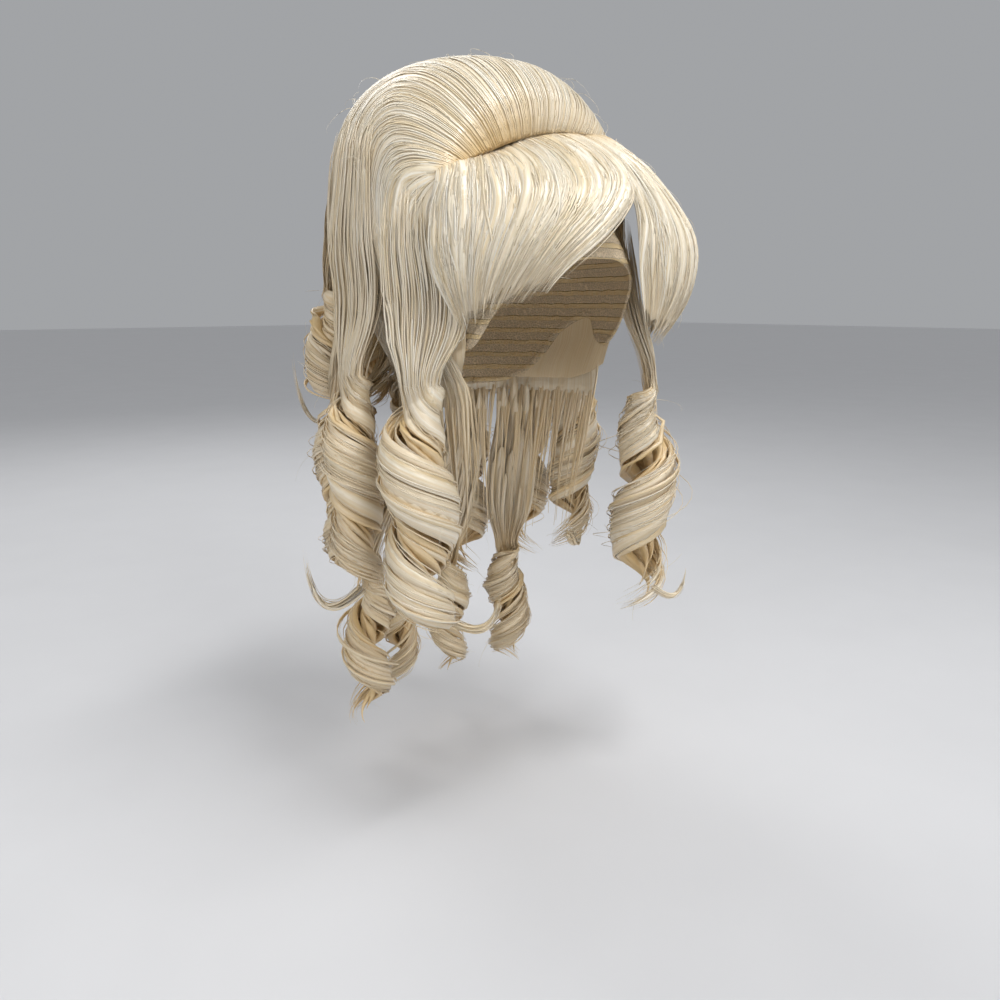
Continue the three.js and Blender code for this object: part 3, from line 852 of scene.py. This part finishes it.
class WIG_OT_cap(bpy.types.Operator):
    """Make the fitted net cap with its bound edge"""

    bl_idname = "wig.cap"
    bl_label = "Net Cap"

    def execute(self, context):
        sizes = context.scene.wig_sizes
        half = head_halves(sizes) + sizes.cap_ease
        sine, cosine = math.sin(sizes.head_tilt), math.cos(sizes.head_tilt)
        top = math.hypot(half[1] * sine, half[2] * cosine)
        centre = np.array([0.0, (half[1] ** 2 - half[2] ** 2) * sine * cosine / top, -top])
        edge = spline(CAP_EDGE, np.linspace(0, 1, 60))
        outline = [(centre[1] + back * half[1], -down * sizes.head_height) for back, down in edge]
        shell = cap_shell(half, centre, sizes)
        cut_below(shell, outline)
        shell.data.materials.clear()
        shell.data.materials.append(cap_net())
        binding = cap_binding(outline, half + sizes.cap_wall / 2, centre, sizes.head_tilt)
        cap = joined("wig_cap_dressed", [shell, binding])
        settle(cap, "wig_cap")
        return {"FINISHED"}


def cap_shell(half, centre, sizes):
    """A round shell with the cap's wall, at the tilt and place of the head."""
    bpy.ops.object.select_all(action="DESELECT")
    bpy.ops.mesh.primitive_uv_sphere_add(segments=96, ring_count=56, radius=1.0)
    shell = bpy.context.object
    shell.name = "wig_cap_dressed"
    bpy.ops.object.mode_set(mode="EDIT")
    bpy.ops.mesh.select_all(action="SELECT")
    bpy.ops.transform.resize(value=tuple(half))
    bpy.ops.object.mode_set(mode="OBJECT")
    shell.rotation_euler = (-sizes.head_tilt, 0, 0)
    shell.location = tuple(centre)
    bpy.ops.object.transform_apply(location=True, rotation=True, scale=True)
    apply_modifier(shell, "SOLIDIFY", thickness=sizes.cap_wall, offset=1.0)
    return shell


def cut_below(shell, outline):
    """Cut away what lies under the cap's edge, seen from the side."""
    depth, reach = -1.0, 0.3
    below = [(outline[0][0], depth), *outline, (outline[-1][0], depth)]
    mesh = bpy.data.meshes.new("cap_cutter")
    mesh.from_pydata([(-reach, y, z) for y, z in below], [], [tuple(range(len(below)))])
    cutter = bpy.data.objects.new("cap_cutter", mesh)
    bpy.context.collection.objects.link(cutter)
    select_only(cutter)
    bpy.ops.object.mode_set(mode="EDIT")
    bpy.ops.mesh.select_all(action="SELECT")
    bpy.ops.mesh.extrude_region_move(TRANSFORM_OT_translate={"value": (2 * reach, 0, 0)})
    bpy.ops.mesh.select_all(action="SELECT")
    bpy.ops.mesh.normals_make_consistent(inside=False)
    bpy.ops.object.mode_set(mode="OBJECT")
    apply_modifier(shell, "BOOLEAN", operation="DIFFERENCE", solver="EXACT", object=cutter)
    bpy.data.objects.remove(cutter)
    select_only(shell)
    bpy.ops.object.shade_smooth_by_angle(angle=SMOOTH_ANGLE)


def cap_binding(outline, half, centre, tilt):
    """The bound edge, a flat round tape along the outline on the tilted form of the cap."""
    sine, cosine = math.sin(tilt), math.cos(tilt)
    line = []
    for y, z in spline(outline, np.linspace(0.02, 0.98, 160)):
        back, up = y - centre[1], z - centre[2]
        length, height = cosine * back - sine * up, sine * back + cosine * up
        room = 1 - (length / half[1]) ** 2 - (height / half[2]) ** 2
        if room > 0:
            line.append((half[0] * math.sqrt(room), y, z))
    line = np.array(line)
    line = np.concatenate([line[::-1], line * (-1, 1, 1), line[-1:]])[None]
    along = np.linspace(0, 1, line.shape[1])[None]
    side, out = frames_along(line, line - centre)
    wide, thick, unshaded = (np.full_like(along, size) for size in (0.0035, 0.0014, 0.0))
    band = HairMesh()
    band.sweep(line, side, out, wide, thick, 10, np.zeros(1), along * 0.5, np.zeros(1), (unshaded, unshaded))
    return band.build("cap_binding", cap_net())


class WIG_OT_crown(bpy.types.Operator):
    """Make the beehive crown, combed back from the parting"""

    bl_idname = "wig.crown"
    bl_label = "Beehive Crown"

    def execute(self, context):
        sizes = context.scene.wig_sizes
        crown = Crown(sizes)
        rng = np.random.default_rng(11)
        made = HairMesh()

        def relief(across, along):
            fine = ridges(across, along, 58, 2.0) * 0.0002 + ridges(across, along, 23, 5.0) * 0.0003
            groove = np.exp(-((across - 0.49 - 0.05 * along) / 0.011) ** 2)
            groove = groove * (1 - eased(along, 0.25, 0.5))
            return (fine - 0.0016 * groove) * eased(along, 0.0, 0.1)

        def root_shade(across, along):
            deep = eased(across, -0.08, 0.1) * (1 - 0.75 * eased(across, 0.3, 0.6))
            return (1 - eased(along, 0.01, 0.09)) * (0.08 + 0.85 * deep)

        def form(across, along):
            across = across * 1.12 - 0.06
            along = paced(along) * 1.04 * fall(across)
            points = crown.combed(across, along)
            points = points + crown.normal(points) * (relief(across, along) - 0.0012)[..., None]
            edge = eased(np.minimum(across, 1 - across), -0.06, -0.02)
            body = np.minimum(edge * eased(along, 0.0, 0.03), 1 - eased(along / fall(across), 0.95, 1.04))
            flow = flow_of(across * CROWN_ACROSS, along * CROWN_ALONG, CROWN_SEED)
            return points, flow, root_shade(across, along), body

        def comb(place, along, wide, thick, sides, lift, drift, tip=0.12, depth=0.0):
            """Strands rooted at their places across the parting, which thin out over a share of tip."""
            rows = len(place)
            along = along * fall(place)[:, None]
            across = place[:, None] + wander(rng, rows, along, drift)
            centres = crown.combed(across, along)
            normals = crown.normal(centres)
            ground = relief(across, along)
            if sides == 3:
                ground = ground * 0.5 + 0.0005
            high = ground - 0.0011 + lift * eased(along, 0.0, 0.05)
            centres = centres + normals * high[..., None]
            side, up = frames_along(centres, normals)
            share = (along - along[:, :1]) / (along[:, -1:] - along[:, :1])
            taper = np.clip((1 - share) / tip, 0.12, 1.0) * np.clip(share / 0.02 + 0.4, 0, 1)
            # Painted shade in gold: depth adds it towards the ends, and the underside of each strand gets
            # more.
            shade = root_shade(across, along) + depth * eased(along, 0.9, 1.05)
            seed = CROWN_SEED + rng.normal(0.0, 0.2, rows)
            made.sweep(centres, side, up, wide * taper, thick * taper, sides, place * CROWN_ACROSS,
                       along * CROWN_ALONG, seed, (shade, np.clip(shade + 0.2, 0, 1)))

        bed = hair_bed("crown_bed", 250, 58, form, thickness=0.005, material=combed_hair())
        core = crown_core(combed_hair(), sizes)
        # Fine strands from the parting to the crown's edge
        rows = 370
        comb(rng.uniform(-0.08, 1.08, rows),
             paced(np.linspace(0.0, 1.0, 44))[None] * rng.uniform(0.97, 1.1, (rows, 1)),
             wide=0.0003, thick=0.00026, sides=3, lift=rng.uniform(0.0, 0.0004, (rows, 1)), drift=0.005)
        # Loose locks that hang from the edge, with painted shade in gold towards their ends
        rows = 190
        starts = rng.uniform(0.55, 0.85, (rows, 1))
        ends = rng.uniform(1.1, 1.45, (rows, 1))
        comb(0.04 + 0.92 * (np.arange(rows) + rng.uniform(0, 1, rows)) / rows,
             starts + np.linspace(0.0, 1.0, 14)[None] * (ends - starts),
             wide=0.0016, thick=0.0006, sides=4, lift=rng.uniform(-0.0006, 0.0002, (rows, 1)),
             drift=0.012, tip=0.5, depth=0.35)
        # Locks beside the face, half of them on each side
        rows = 26
        right, left = rng.uniform(-0.08, 0.06, rows // 2), rng.uniform(0.94, 1.08, rows // 2)
        comb(np.concatenate([right, left]),
             np.linspace(0.0, 1.0, 26)[None] * rng.uniform(0.8, 1.1, (rows, 1)),
             wide=0.0026, thick=0.0007, sides=6, lift=rng.uniform(-0.0006, 0.0004, (rows, 1)),
             drift=0.012, tip=0.4)
        rows = 90
        spots = crown.combed(rng.uniform(0.02, 0.98, rows), rng.uniform(0.1, 0.95, rows))
        stray_hairs(made, rng, spots, crown.normal(spots), reach=0.014, sag=0.4)
        piece = joined("beehive_crown_dressed", [bed, core, made.build("crown_strands", combed_hair())])
        settle(piece, "beehive_crown")
        return {"FINISHED"}


def crown_core(material, sizes):
    """A copy of the crown's solid, drawn in a little but clear of the head, as the body under the hair."""
    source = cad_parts["beehive_crown"]
    made = source.copy()
    made.data = source.data.copy()
    made.name = "crown_core"
    for key in list(made.keys()):
        del made[key]
    bpy.context.collection.objects.link(made)
    select_only(made)
    bpy.ops.object.mode_set(mode="EDIT")
    bpy.ops.mesh.select_all(action="SELECT")
    bpy.ops.mesh.remove_doubles(threshold=0.00002)
    bpy.ops.mesh.normals_make_consistent(inside=False)
    bpy.ops.object.mode_set(mode="OBJECT")
    made.data.materials.clear()
    made.data.materials.append(material)
    mesh = made.data
    count = len(mesh.vertices)
    spots = np.empty(count * 3)
    mesh.vertices.foreach_get("co", spots)
    spots = spots.reshape(-1, 3)
    half = head_halves(sizes)
    nearest = 1.08
    outer = eased(np.linalg.norm((spots - HEAD_MIDDLE) / half, axis=1), 1.1, 1.2)
    front = eased(-spots[:, 1], -0.005, 0.03)
    shrink = outer * (0.05 + 0.16 * front)
    spots = spots + (Crown.heart - spots) * shrink[:, None]
    reach = np.linalg.norm((spots - HEAD_MIDDLE) / half, axis=1)
    grown = np.where(outer > 0, np.maximum(1.0, nearest / reach), 1.0)
    spots = HEAD_MIDDLE + (spots - HEAD_MIDDLE) * grown[:, None]
    mesh.vertices.foreach_set("co", spots.ravel())
    turn = np.arctan2(spots[:, 0], spots[:, 1] - Crown.heart[1])
    # The core gets painted shade in gold all over, since it lies under the hair.
    write_flow(mesh, flow_of(turn * 0.25, spots[:, 2], CORE_SEED), np.full(count, 0.45))
    mesh.update()
    bpy.ops.object.shade_smooth_by_angle(angle=SMOOTH_ANGLE)
    return made


class WIG_OT_fringe(bpy.types.Operator):
    """Make the fringe, swept over the forehead to one side"""

    bl_idname = "wig.fringe"
    bl_label = "Swept Fringe"

    def execute(self, context):
        sizes = context.scene.wig_sizes

        def course(across, along):
            gathered = 1 - 0.56 * eased(along, 0.55, 1.12)
            return across * gathered, 1 - (1 - np.minimum(along, 1.0)) ** 1.1

        sheet = Sheet(FRINGE_PATHS, head_halves(sizes))
        sweep_sheet("swept_fringe", sheet, course, sizes.fringe_thickness, np.random.default_rng(23),
                    locks=21, strands=480)
        return {"FINISHED"}


class WIG_OT_wave(bpy.types.Operator):
    """Make the wave that frames the other side of the face"""

    bl_idname = "wig.wave"
    bl_label = "Face Wave"

    def execute(self, context):
        sizes = context.scene.wig_sizes

        def course(across, along):
            return across, np.minimum(along, 1.0)

        sheet = Sheet(WAVE_PATHS, head_halves(sizes))
        sweep_sheet("face_wave", sheet, course, sizes.fringe_thickness, np.random.default_rng(31),
                    locks=13, strands=360)
        return {"FINISHED"}


def sweep_sheet(node, sheet, course, thickness, rng, locks, strands):
    """Lay a bed, tapered locks and strands along the course that the hair takes over a sheet."""
    seed = float(locks)
    made = HairMesh()

    def root_shade(along):
        return 0.55 * (1 - eased(along, 0.12, 0.34)) + 0.15 * eased(along, 0.75, 1.0)

    def place_of(across, along, lift):
        u, v = course(across, along)
        points = sheet.point(u, v)
        normals = sheet.normal(u, v)
        raised = ridges(across, along, locks, seed) * 0.0009
        raised = raised + ridges(across, along, locks * 3, seed + 1) * 0.0004
        high = raised * eased(along, 0.1, 0.3) * (1 - 0.7 * eased(along, 0.8, 1.0)) - 0.0016 + lift
        return points + normals * high[..., None], normals

    def form(across, along):
        ragged = along * (0.97 - 0.06 * ridges(across, across * 0, locks, seed + 3))
        points, _ = place_of(across, ragged, 0.0)
        edge = eased(np.minimum(across, 1 - across), 0.0, 0.06)
        body = np.minimum(edge, 1 - eased(along, 0.72, 1.0))
        flow = flow_of(across * SHEET_ACROSS, along * SHEET_ALONG, SHEET_SEED)
        return points, flow, root_shade(along) * 1.2, body

    bed = hair_bed(node + "_bed", 90, 40, form, thickness * 0.35, combed_hair(), way=1.0)
    # Rows, steps, half width, half thickness, sides, and how far the tips fan out
    flat_locks = (locks * 3, 30, 0.003, 0.0006, 6, 0.0)
    fine_strands = (strands, 26, 0.00034, 0.0003, 3, 0.0)
    wisps = (46, 26, 0.0007, 0.0004, 3, 0.16)
    for rows, steps, wide, thick, sides, fan in (flat_locks, fine_strands, wisps):
        place = np.clip((np.arange(rows) + rng.uniform(-0.5, 0.5, rows)) / (rows - 1), 0.0, 1.0)
        ends = rng.uniform(0.88, 1.0, (rows, 1))
        along = np.linspace(0.0, 1.0, steps)[None] * ends
        across = np.clip(place[:, None] + wander(rng, rows, along, 0.02), 0, 1)
        across = across + rng.uniform(0.0, fan, (rows, 1)) * eased(along, 0.55, 1.0)
        lift = rng.uniform(-0.0006, 0.0004, (rows, 1)) + (0.0004 if sides == 3 else 0.0)
        centres, normals = place_of(across, along, lift * eased(along, 0.0, 0.1))
        side, up = frames_along(centres, normals)
        share = along / ends
        taper = np.clip((1 - share) / 0.3, 0.06, 1.0) * np.clip(share / 0.03 + 0.4, 0, 1)
        shade = root_shade(along)
        deep = thick * taper * rng.uniform(0.7, 1.3, (rows, 1))
        seeds = SHEET_SEED + rng.normal(0.0, 0.3, rows)
        made.sweep(centres, side, up, wide * taper, deep, sides, place * SHEET_ACROSS, along * SHEET_ALONG,
                   seeds, (shade, np.clip(shade + 0.3, 0, 1)))
    rows = 40
    spots, normals = place_of(rng.uniform(0.0, 1.0, rows), rng.uniform(0.2, 0.95, rows), 0.0)
    stray_hairs(made, rng, spots, normals, reach=0.01, sag=0.6)
    piece = joined(node + "_dressed", [bed, made.build(node + "_locks", combed_hair())])
    settle(piece, node)


class WIG_OT_ringlets(bpy.types.Operator):
    """Make the ringlets, each a ribbon of hair that coils to its tip"""

    bl_idname = "wig.ringlets"
    bl_label = "Ringlets"

    def execute(self, context):
        sizes = context.scene.wig_sizes
        crown = Crown(sizes)
        for number, (node, row) in enumerate(RINGLETS.items()):
            curl(node, Ringlet(row, crown, sizes), np.random.default_rng(100 + number))
        return {"FINISHED"}


def curl(node, ringlet, rng):
    """Lay tapered locks and fine strands along the ribbon of one ringlet."""
    made = HairMesh()
    straight = ringlet.straight
    row = ringlet.row
    # What share of the hair's own length is straight
    coiled = math.hypot(row["turns"] * 5.6 * row["radius"] * ringlet.half, (1 - straight) * ringlet.length)
    unrolled = straight * ringlet.length / (straight * ringlet.length + coiled)
    ahead = max(0.0, math.cos(ringlet.around))
    # Ringlets round the back take extra painted shade in gold.
    behind = 0.3 * float(eased(-math.cos(ringlet.around), -0.4, 0.4))

    def lay(rows, steps, broad, high, sides, loose, early, late, edge=1.0, core=1.0, gold_and_shade=0.0, stop=1.0):
        """Hair of one kind. Broad and high are half its width and thickness, loose is how far it strays,
        early holds the first and last start as shares of the straight length, late is the most that is
        missing at the tip, edge is how much of the ribbon it covers, and core is how wide it coils."""
        locks = sides > 3
        # Where each one lies across the ribbon, and how much of the ringlet's length it runs along
        place = ((np.arange(rows) + rng.uniform(0.1, 0.9, rows)) / rows * 2 - 1) * edge
        starts = rng.uniform(early[0], early[1], (rows, 1)) * straight
        ends = 1 - rng.uniform(0.0, late, (rows, 1)) * (0.4 + 0.6 * np.abs(place[:, None]))
        # Most steps go to the coil, and no two neighbours have theirs side by side
        share = np.interp(np.linspace(0.0, 1.0, steps), [0.0, 0.8 * unrolled, 0.8 * unrolled + 0.22, 1.0],
                          [0.0, 0.85 * straight, straight + 0.1, 1.0])[None]
        share = share + np.sin(np.pi * share) * rng.uniform(-0.45, 0.45, (rows, 1)) / steps
        along = starts + share * (np.minimum(ends, stop) - starts)
        # Each turns a little before or after the others, and a little wider or closer
        lag = rng.normal(0.0, 0.04, (rows, 1)) * loose
        swell = core * (1 + rng.normal(0.0, 0.07, (rows, 1)) * loose)
        centre, side, face, wide, thick, bend = ringlet.ribbon(along, lag, swell)
        coil = eased(along, 0.75 * straight, straight + 0.1)
        # It drifts across a rounded section, which is full in the coil and thin above it
        offset = place[:, None] + wander(rng, rows, along, 0.13, 3.0) * (0.3 + 0.7 * coil)
        offset = np.clip(offset, -1.05, 1.05)
        depth = np.sqrt(np.clip(1.12 - offset**2, 0.0, 1.0)) * (0.24 + 0.76 * coil)
        if locks:
            layer = rng.uniform(-0.8, 0.8, (rows, 1))
        else:
            layer = rng.choice([-1.0, 1.0, 1.0, 1.0], (rows, 1))
        # It comes up out of the crown, and lies low until the coil
        emerge = eased(along, starts, starts + 0.7 * straight)
        sunk = (0.005 * ahead - 0.01) * (1 - emerge)
        sunk = sunk - 0.004 * (1 - eased(along, 0.6 * straight, straight * 1.05))
        if stop < 1:
            sunk = np.maximum(sunk + 0.0018, -0.0042)
        # It is arched across the coil, and doesn't fold over inside a bend
        sideways = offset * wide
        room = room_beside(bend)
        sideways = np.where(sideways * bend > 0, np.clip(sideways, -room, room), sideways)
        arched = 0.006 * coil * np.clip(wide / 0.02, 0.3, 1.2)
        centres = centre + side * sideways[..., None]
        centres = centres + face * (layer * depth * thick * 0.8 + sunk - arched * offset**2)[..., None]
        # It leans with the arch and turns a little about its own run
        across_way, up = frames_along(centres, face)
        lean = -np.arctan(2 * arched * offset / np.maximum(wide, 1e-4)) if locks else 0.0
        twist = rng.normal(0.0, 0.1, (rows, 1)) + wander(rng, rows, along, 0.12, 2.0)
        twist = twist * (0.2 + 0.8 * coil) + lean * np.sign(np.sum(across_way * side, -1))
        across_way, up = twisted(across_way, up, twist)
        # It tapers at both ends, is flatter above the coil, and takes painted shade in gold on its inner
        # side
        begin = 0.04 if core == 1.0 and locks else 0.22
        taper = np.clip((1 - share) / 0.16, 0.04, 1.0) ** 0.8 * np.clip(share / begin, 0.04, 1.0) ** 0.8
        full = np.clip(wide / 0.022, 0.3, 1.15) * (0.6 + 0.4 * coil) if locks else 1.0
        flat = 0.4 + 0.6 * coil if locks else 1.0
        # Each lock gets a random golden tone, and painted shade is added for the back and the coil.
        outer = gold_and_shade + behind + rng.uniform(0.0, 0.16, (rows, 1)) + 0.05 * coil
        # Locks lying deeper in the coil get more painted shade.
        outer = outer + 0.25 * coil * (layer < -0.3)
        inner = gold_and_shade + 0.2 + 0.7 * coil
        made.sweep(centres, across_way, up, broad * full * taper, high * flat * taper, sides,
                   place * 0.03, along * ringlet.length * 1.5, rng.uniform(0, 40, rows), (outer, inner))

    # Broad locks, narrow ones between them, and a few that stray
    lay(rows=11, steps=55, broad=0.0062, high=0.0016, sides=6, loose=0.7, early=(-0.06, 0.42), late=0.16,
        edge=0.82)
    lay(rows=8, steps=50, broad=0.003, high=0.001, sides=4, loose=1.2, early=(0.0, 0.6), late=0.2)
    lay(rows=4, steps=44, broad=0.002, high=0.0008, sides=4, loose=2.6, early=(0.1, 0.7), late=0.3)
    # Locks inside the coil with painted shade in gold, which show between its turns
    lay(rows=5, steps=30, broad=0.005, high=0.002, sides=4, loose=1.5, early=(1.08, 1.3), late=0.2,
        core=0.45, gold_and_shade=0.45)
    # Fine strands along the coil, and others that lead into it from the crown
    lay(rows=38, steps=47, broad=0.00036, high=0.0003, sides=3, loose=1.1, early=(0.3, 0.8), late=0.16)
    lay(rows=54, steps=14, broad=0.00042, high=0.0003, sides=3, loose=0.6,
        early=(0.33 * ahead - 0.17, 0.25), late=0.1, stop=straight * 1.1)
    # Loose hairs round the coil
    lay(rows=8, steps=42, broad=0.0002, high=0.0002, sides=3, loose=3.5, early=(0.2, 0.8), late=0.3)
    roots, facing = ringlet.middle(rng.uniform(0.4, 0.97, 16))
    ways = unit(facing + rng.normal(0.0, 0.5, facing.shape))
    stray_hairs(made, rng, roots, ways, reach=0.016, sag=0.5)
    if node in FLICKS:
        flick(made, ringlet, rng, **FLICKS[node])
    piece = made.build(node + "_dressed", combed_hair())
    settle(piece, node)


def flick(made, ringlet, rng, share, heading, reach, rise, body):
    """A small lock that leaves a ringlet, dips and turns up to a fine tip."""
    start, _ = ringlet.middle(np.array([share]))
    turn = math.radians(heading)
    way = np.array([math.cos(turn), math.sin(turn), 0.0])
    # Rows, half width, half thickness and sides
    locks, strands = (6, 0.0026 * body, 0.0009 * body, 6), (16, 0.0003, 0.00025, 3)
    for rows, wide, thick, sides in (locks, strands):
        t = np.linspace(0.0, 1.0, 22)[None] * rng.uniform(0.75, 1.0, (rows, 1))
        spread = rng.normal(0.0, 0.0028 * body, (rows, 1, 3)) * (1 - 0.6 * t)[..., None]
        centres = start + way * (reach * np.sin(t * 1.5))[..., None] + spread
        centres[..., 2] += rise * (1.3 * t**2.4 - 0.8 * np.sin(np.pi * t))
        side, up = frames_along(centres, np.array([0.0, 0.0, 1.0]) + 0.4 * way)
        taper = np.clip((1.02 - t) / 0.6, 0.08, 1.0)
        # Painted shade in gold grows towards the tip and fills the underside.
        made.sweep(centres, side, up, wide * taper, thick * taper, sides, np.arange(rows) * 0.004,
                   t * reach * 3, rng.uniform(0, 40, rows), (0.1 * t, 0.35 * np.ones_like(t)))


class WIG_OT_stage(bpy.types.Operator):
    """Set the pale floor, the soft lights and the camera"""

    bl_idname = "wig.stage"
    bl_label = "Stage"

    def execute(self, context):
        look = context.scene.wig_look
        bpy.ops.object.select_all(action="DESELECT")
        bpy.ops.mesh.primitive_plane_add(size=FLOOR_SIZE, location=(0, 0, FLOOR_HEIGHT))
        floor = bpy.context.object
        floor.name = "pale_floor"
        bpy.ops.object.transform_apply(location=True, rotation=True, scale=True)
        floor.data.materials.append(floor_material(look))
        for name, place, width, depth, power in LAMPS:
            bpy.ops.object.light_add(type="AREA", location=place)
            lamp = bpy.context.object
            lamp.name = name
            lamp.data.shape = "RECTANGLE"
            lamp.data.size = width
            lamp.data.size_y = depth
            lamp.data.energy = power
            lamp.rotation_euler = (Vector(LAMP_AIM) - Vector(place)).to_track_quat("-Z", "Y").to_euler()
        bpy.ops.object.light_add(type="SUN", rotation=(math.radians(SUN_SLOPE), 0.0, math.radians(SUN_TURN)))
        sun = bpy.context.object
        sun.name = "soft_sun"
        sun.data.angle = math.radians(SUN_SPREAD)
        sun.data.energy = SUN_POWER
        world = bpy.data.worlds.new("studio")
        world.use_nodes = True
        backdrop = world.node_tree.nodes["Background"]
        backdrop.inputs["Color"].default_value = ROOM_COLOUR
        backdrop.inputs["Strength"].default_value = ROOM_POWER
        context.scene.world = world
        bpy.ops.object.camera_add(location=CAMERA_PLACE)
        camera = bpy.context.object
        camera.rotation_euler = (math.radians(90 - CAMERA_DIP), 0.0, math.radians(CAMERA_TURN))
        camera.data.sensor_width = CAMERA_SENSOR
        camera.data.lens = CAMERA_LENS
        camera.data.clip_start = 0.01
        context.scene.camera = camera
        context.scene.view_settings.view_transform = "Standard"
        return {"FINISHED"}


class WIG_PT_panel(bpy.types.Panel):
    bl_label = "Beehive Wig"
    bl_idname = "WIG_PT_panel"
    bl_space_type = "VIEW_3D"
    bl_region_type = "UI"
    bl_category = "Wig"

    def draw(self, context):
        for operator in OPERATORS:
            self.layout.operator(operator.bl_idname)
        for group in (context.scene.wig_sizes, context.scene.wig_look):
            box = self.layout.box()
            for name in group.__annotations__:
                box.prop(group, name)


OPERATORS = (WIG_OT_cap, WIG_OT_crown, WIG_OT_fringe, WIG_OT_wave, WIG_OT_ringlets, WIG_OT_stage)
CLASSES = (WigSizes, WigLook, *OPERATORS, WIG_PT_panel)


def register():
    for made in CLASSES:
        bpy.utils.register_class(made)
    bpy.types.Scene.wig_sizes = bpy.props.PointerProperty(type=WigSizes)
    bpy.types.Scene.wig_look = bpy.props.PointerProperty(type=WigLook)


def unregister():
    del bpy.types.Scene.wig_look
    del bpy.types.Scene.wig_sizes
    for made in reversed(CLASSES):
        bpy.utils.unregister_class(made)


def main():
    register()
    bpy.ops.wig.cap()
    bpy.ops.wig.crown()
    bpy.ops.wig.fringe()
    bpy.ops.wig.wave()
    bpy.ops.wig.ringlets()
    bpy.ops.wig.stage()


if __name__ == "__main__":
    main()
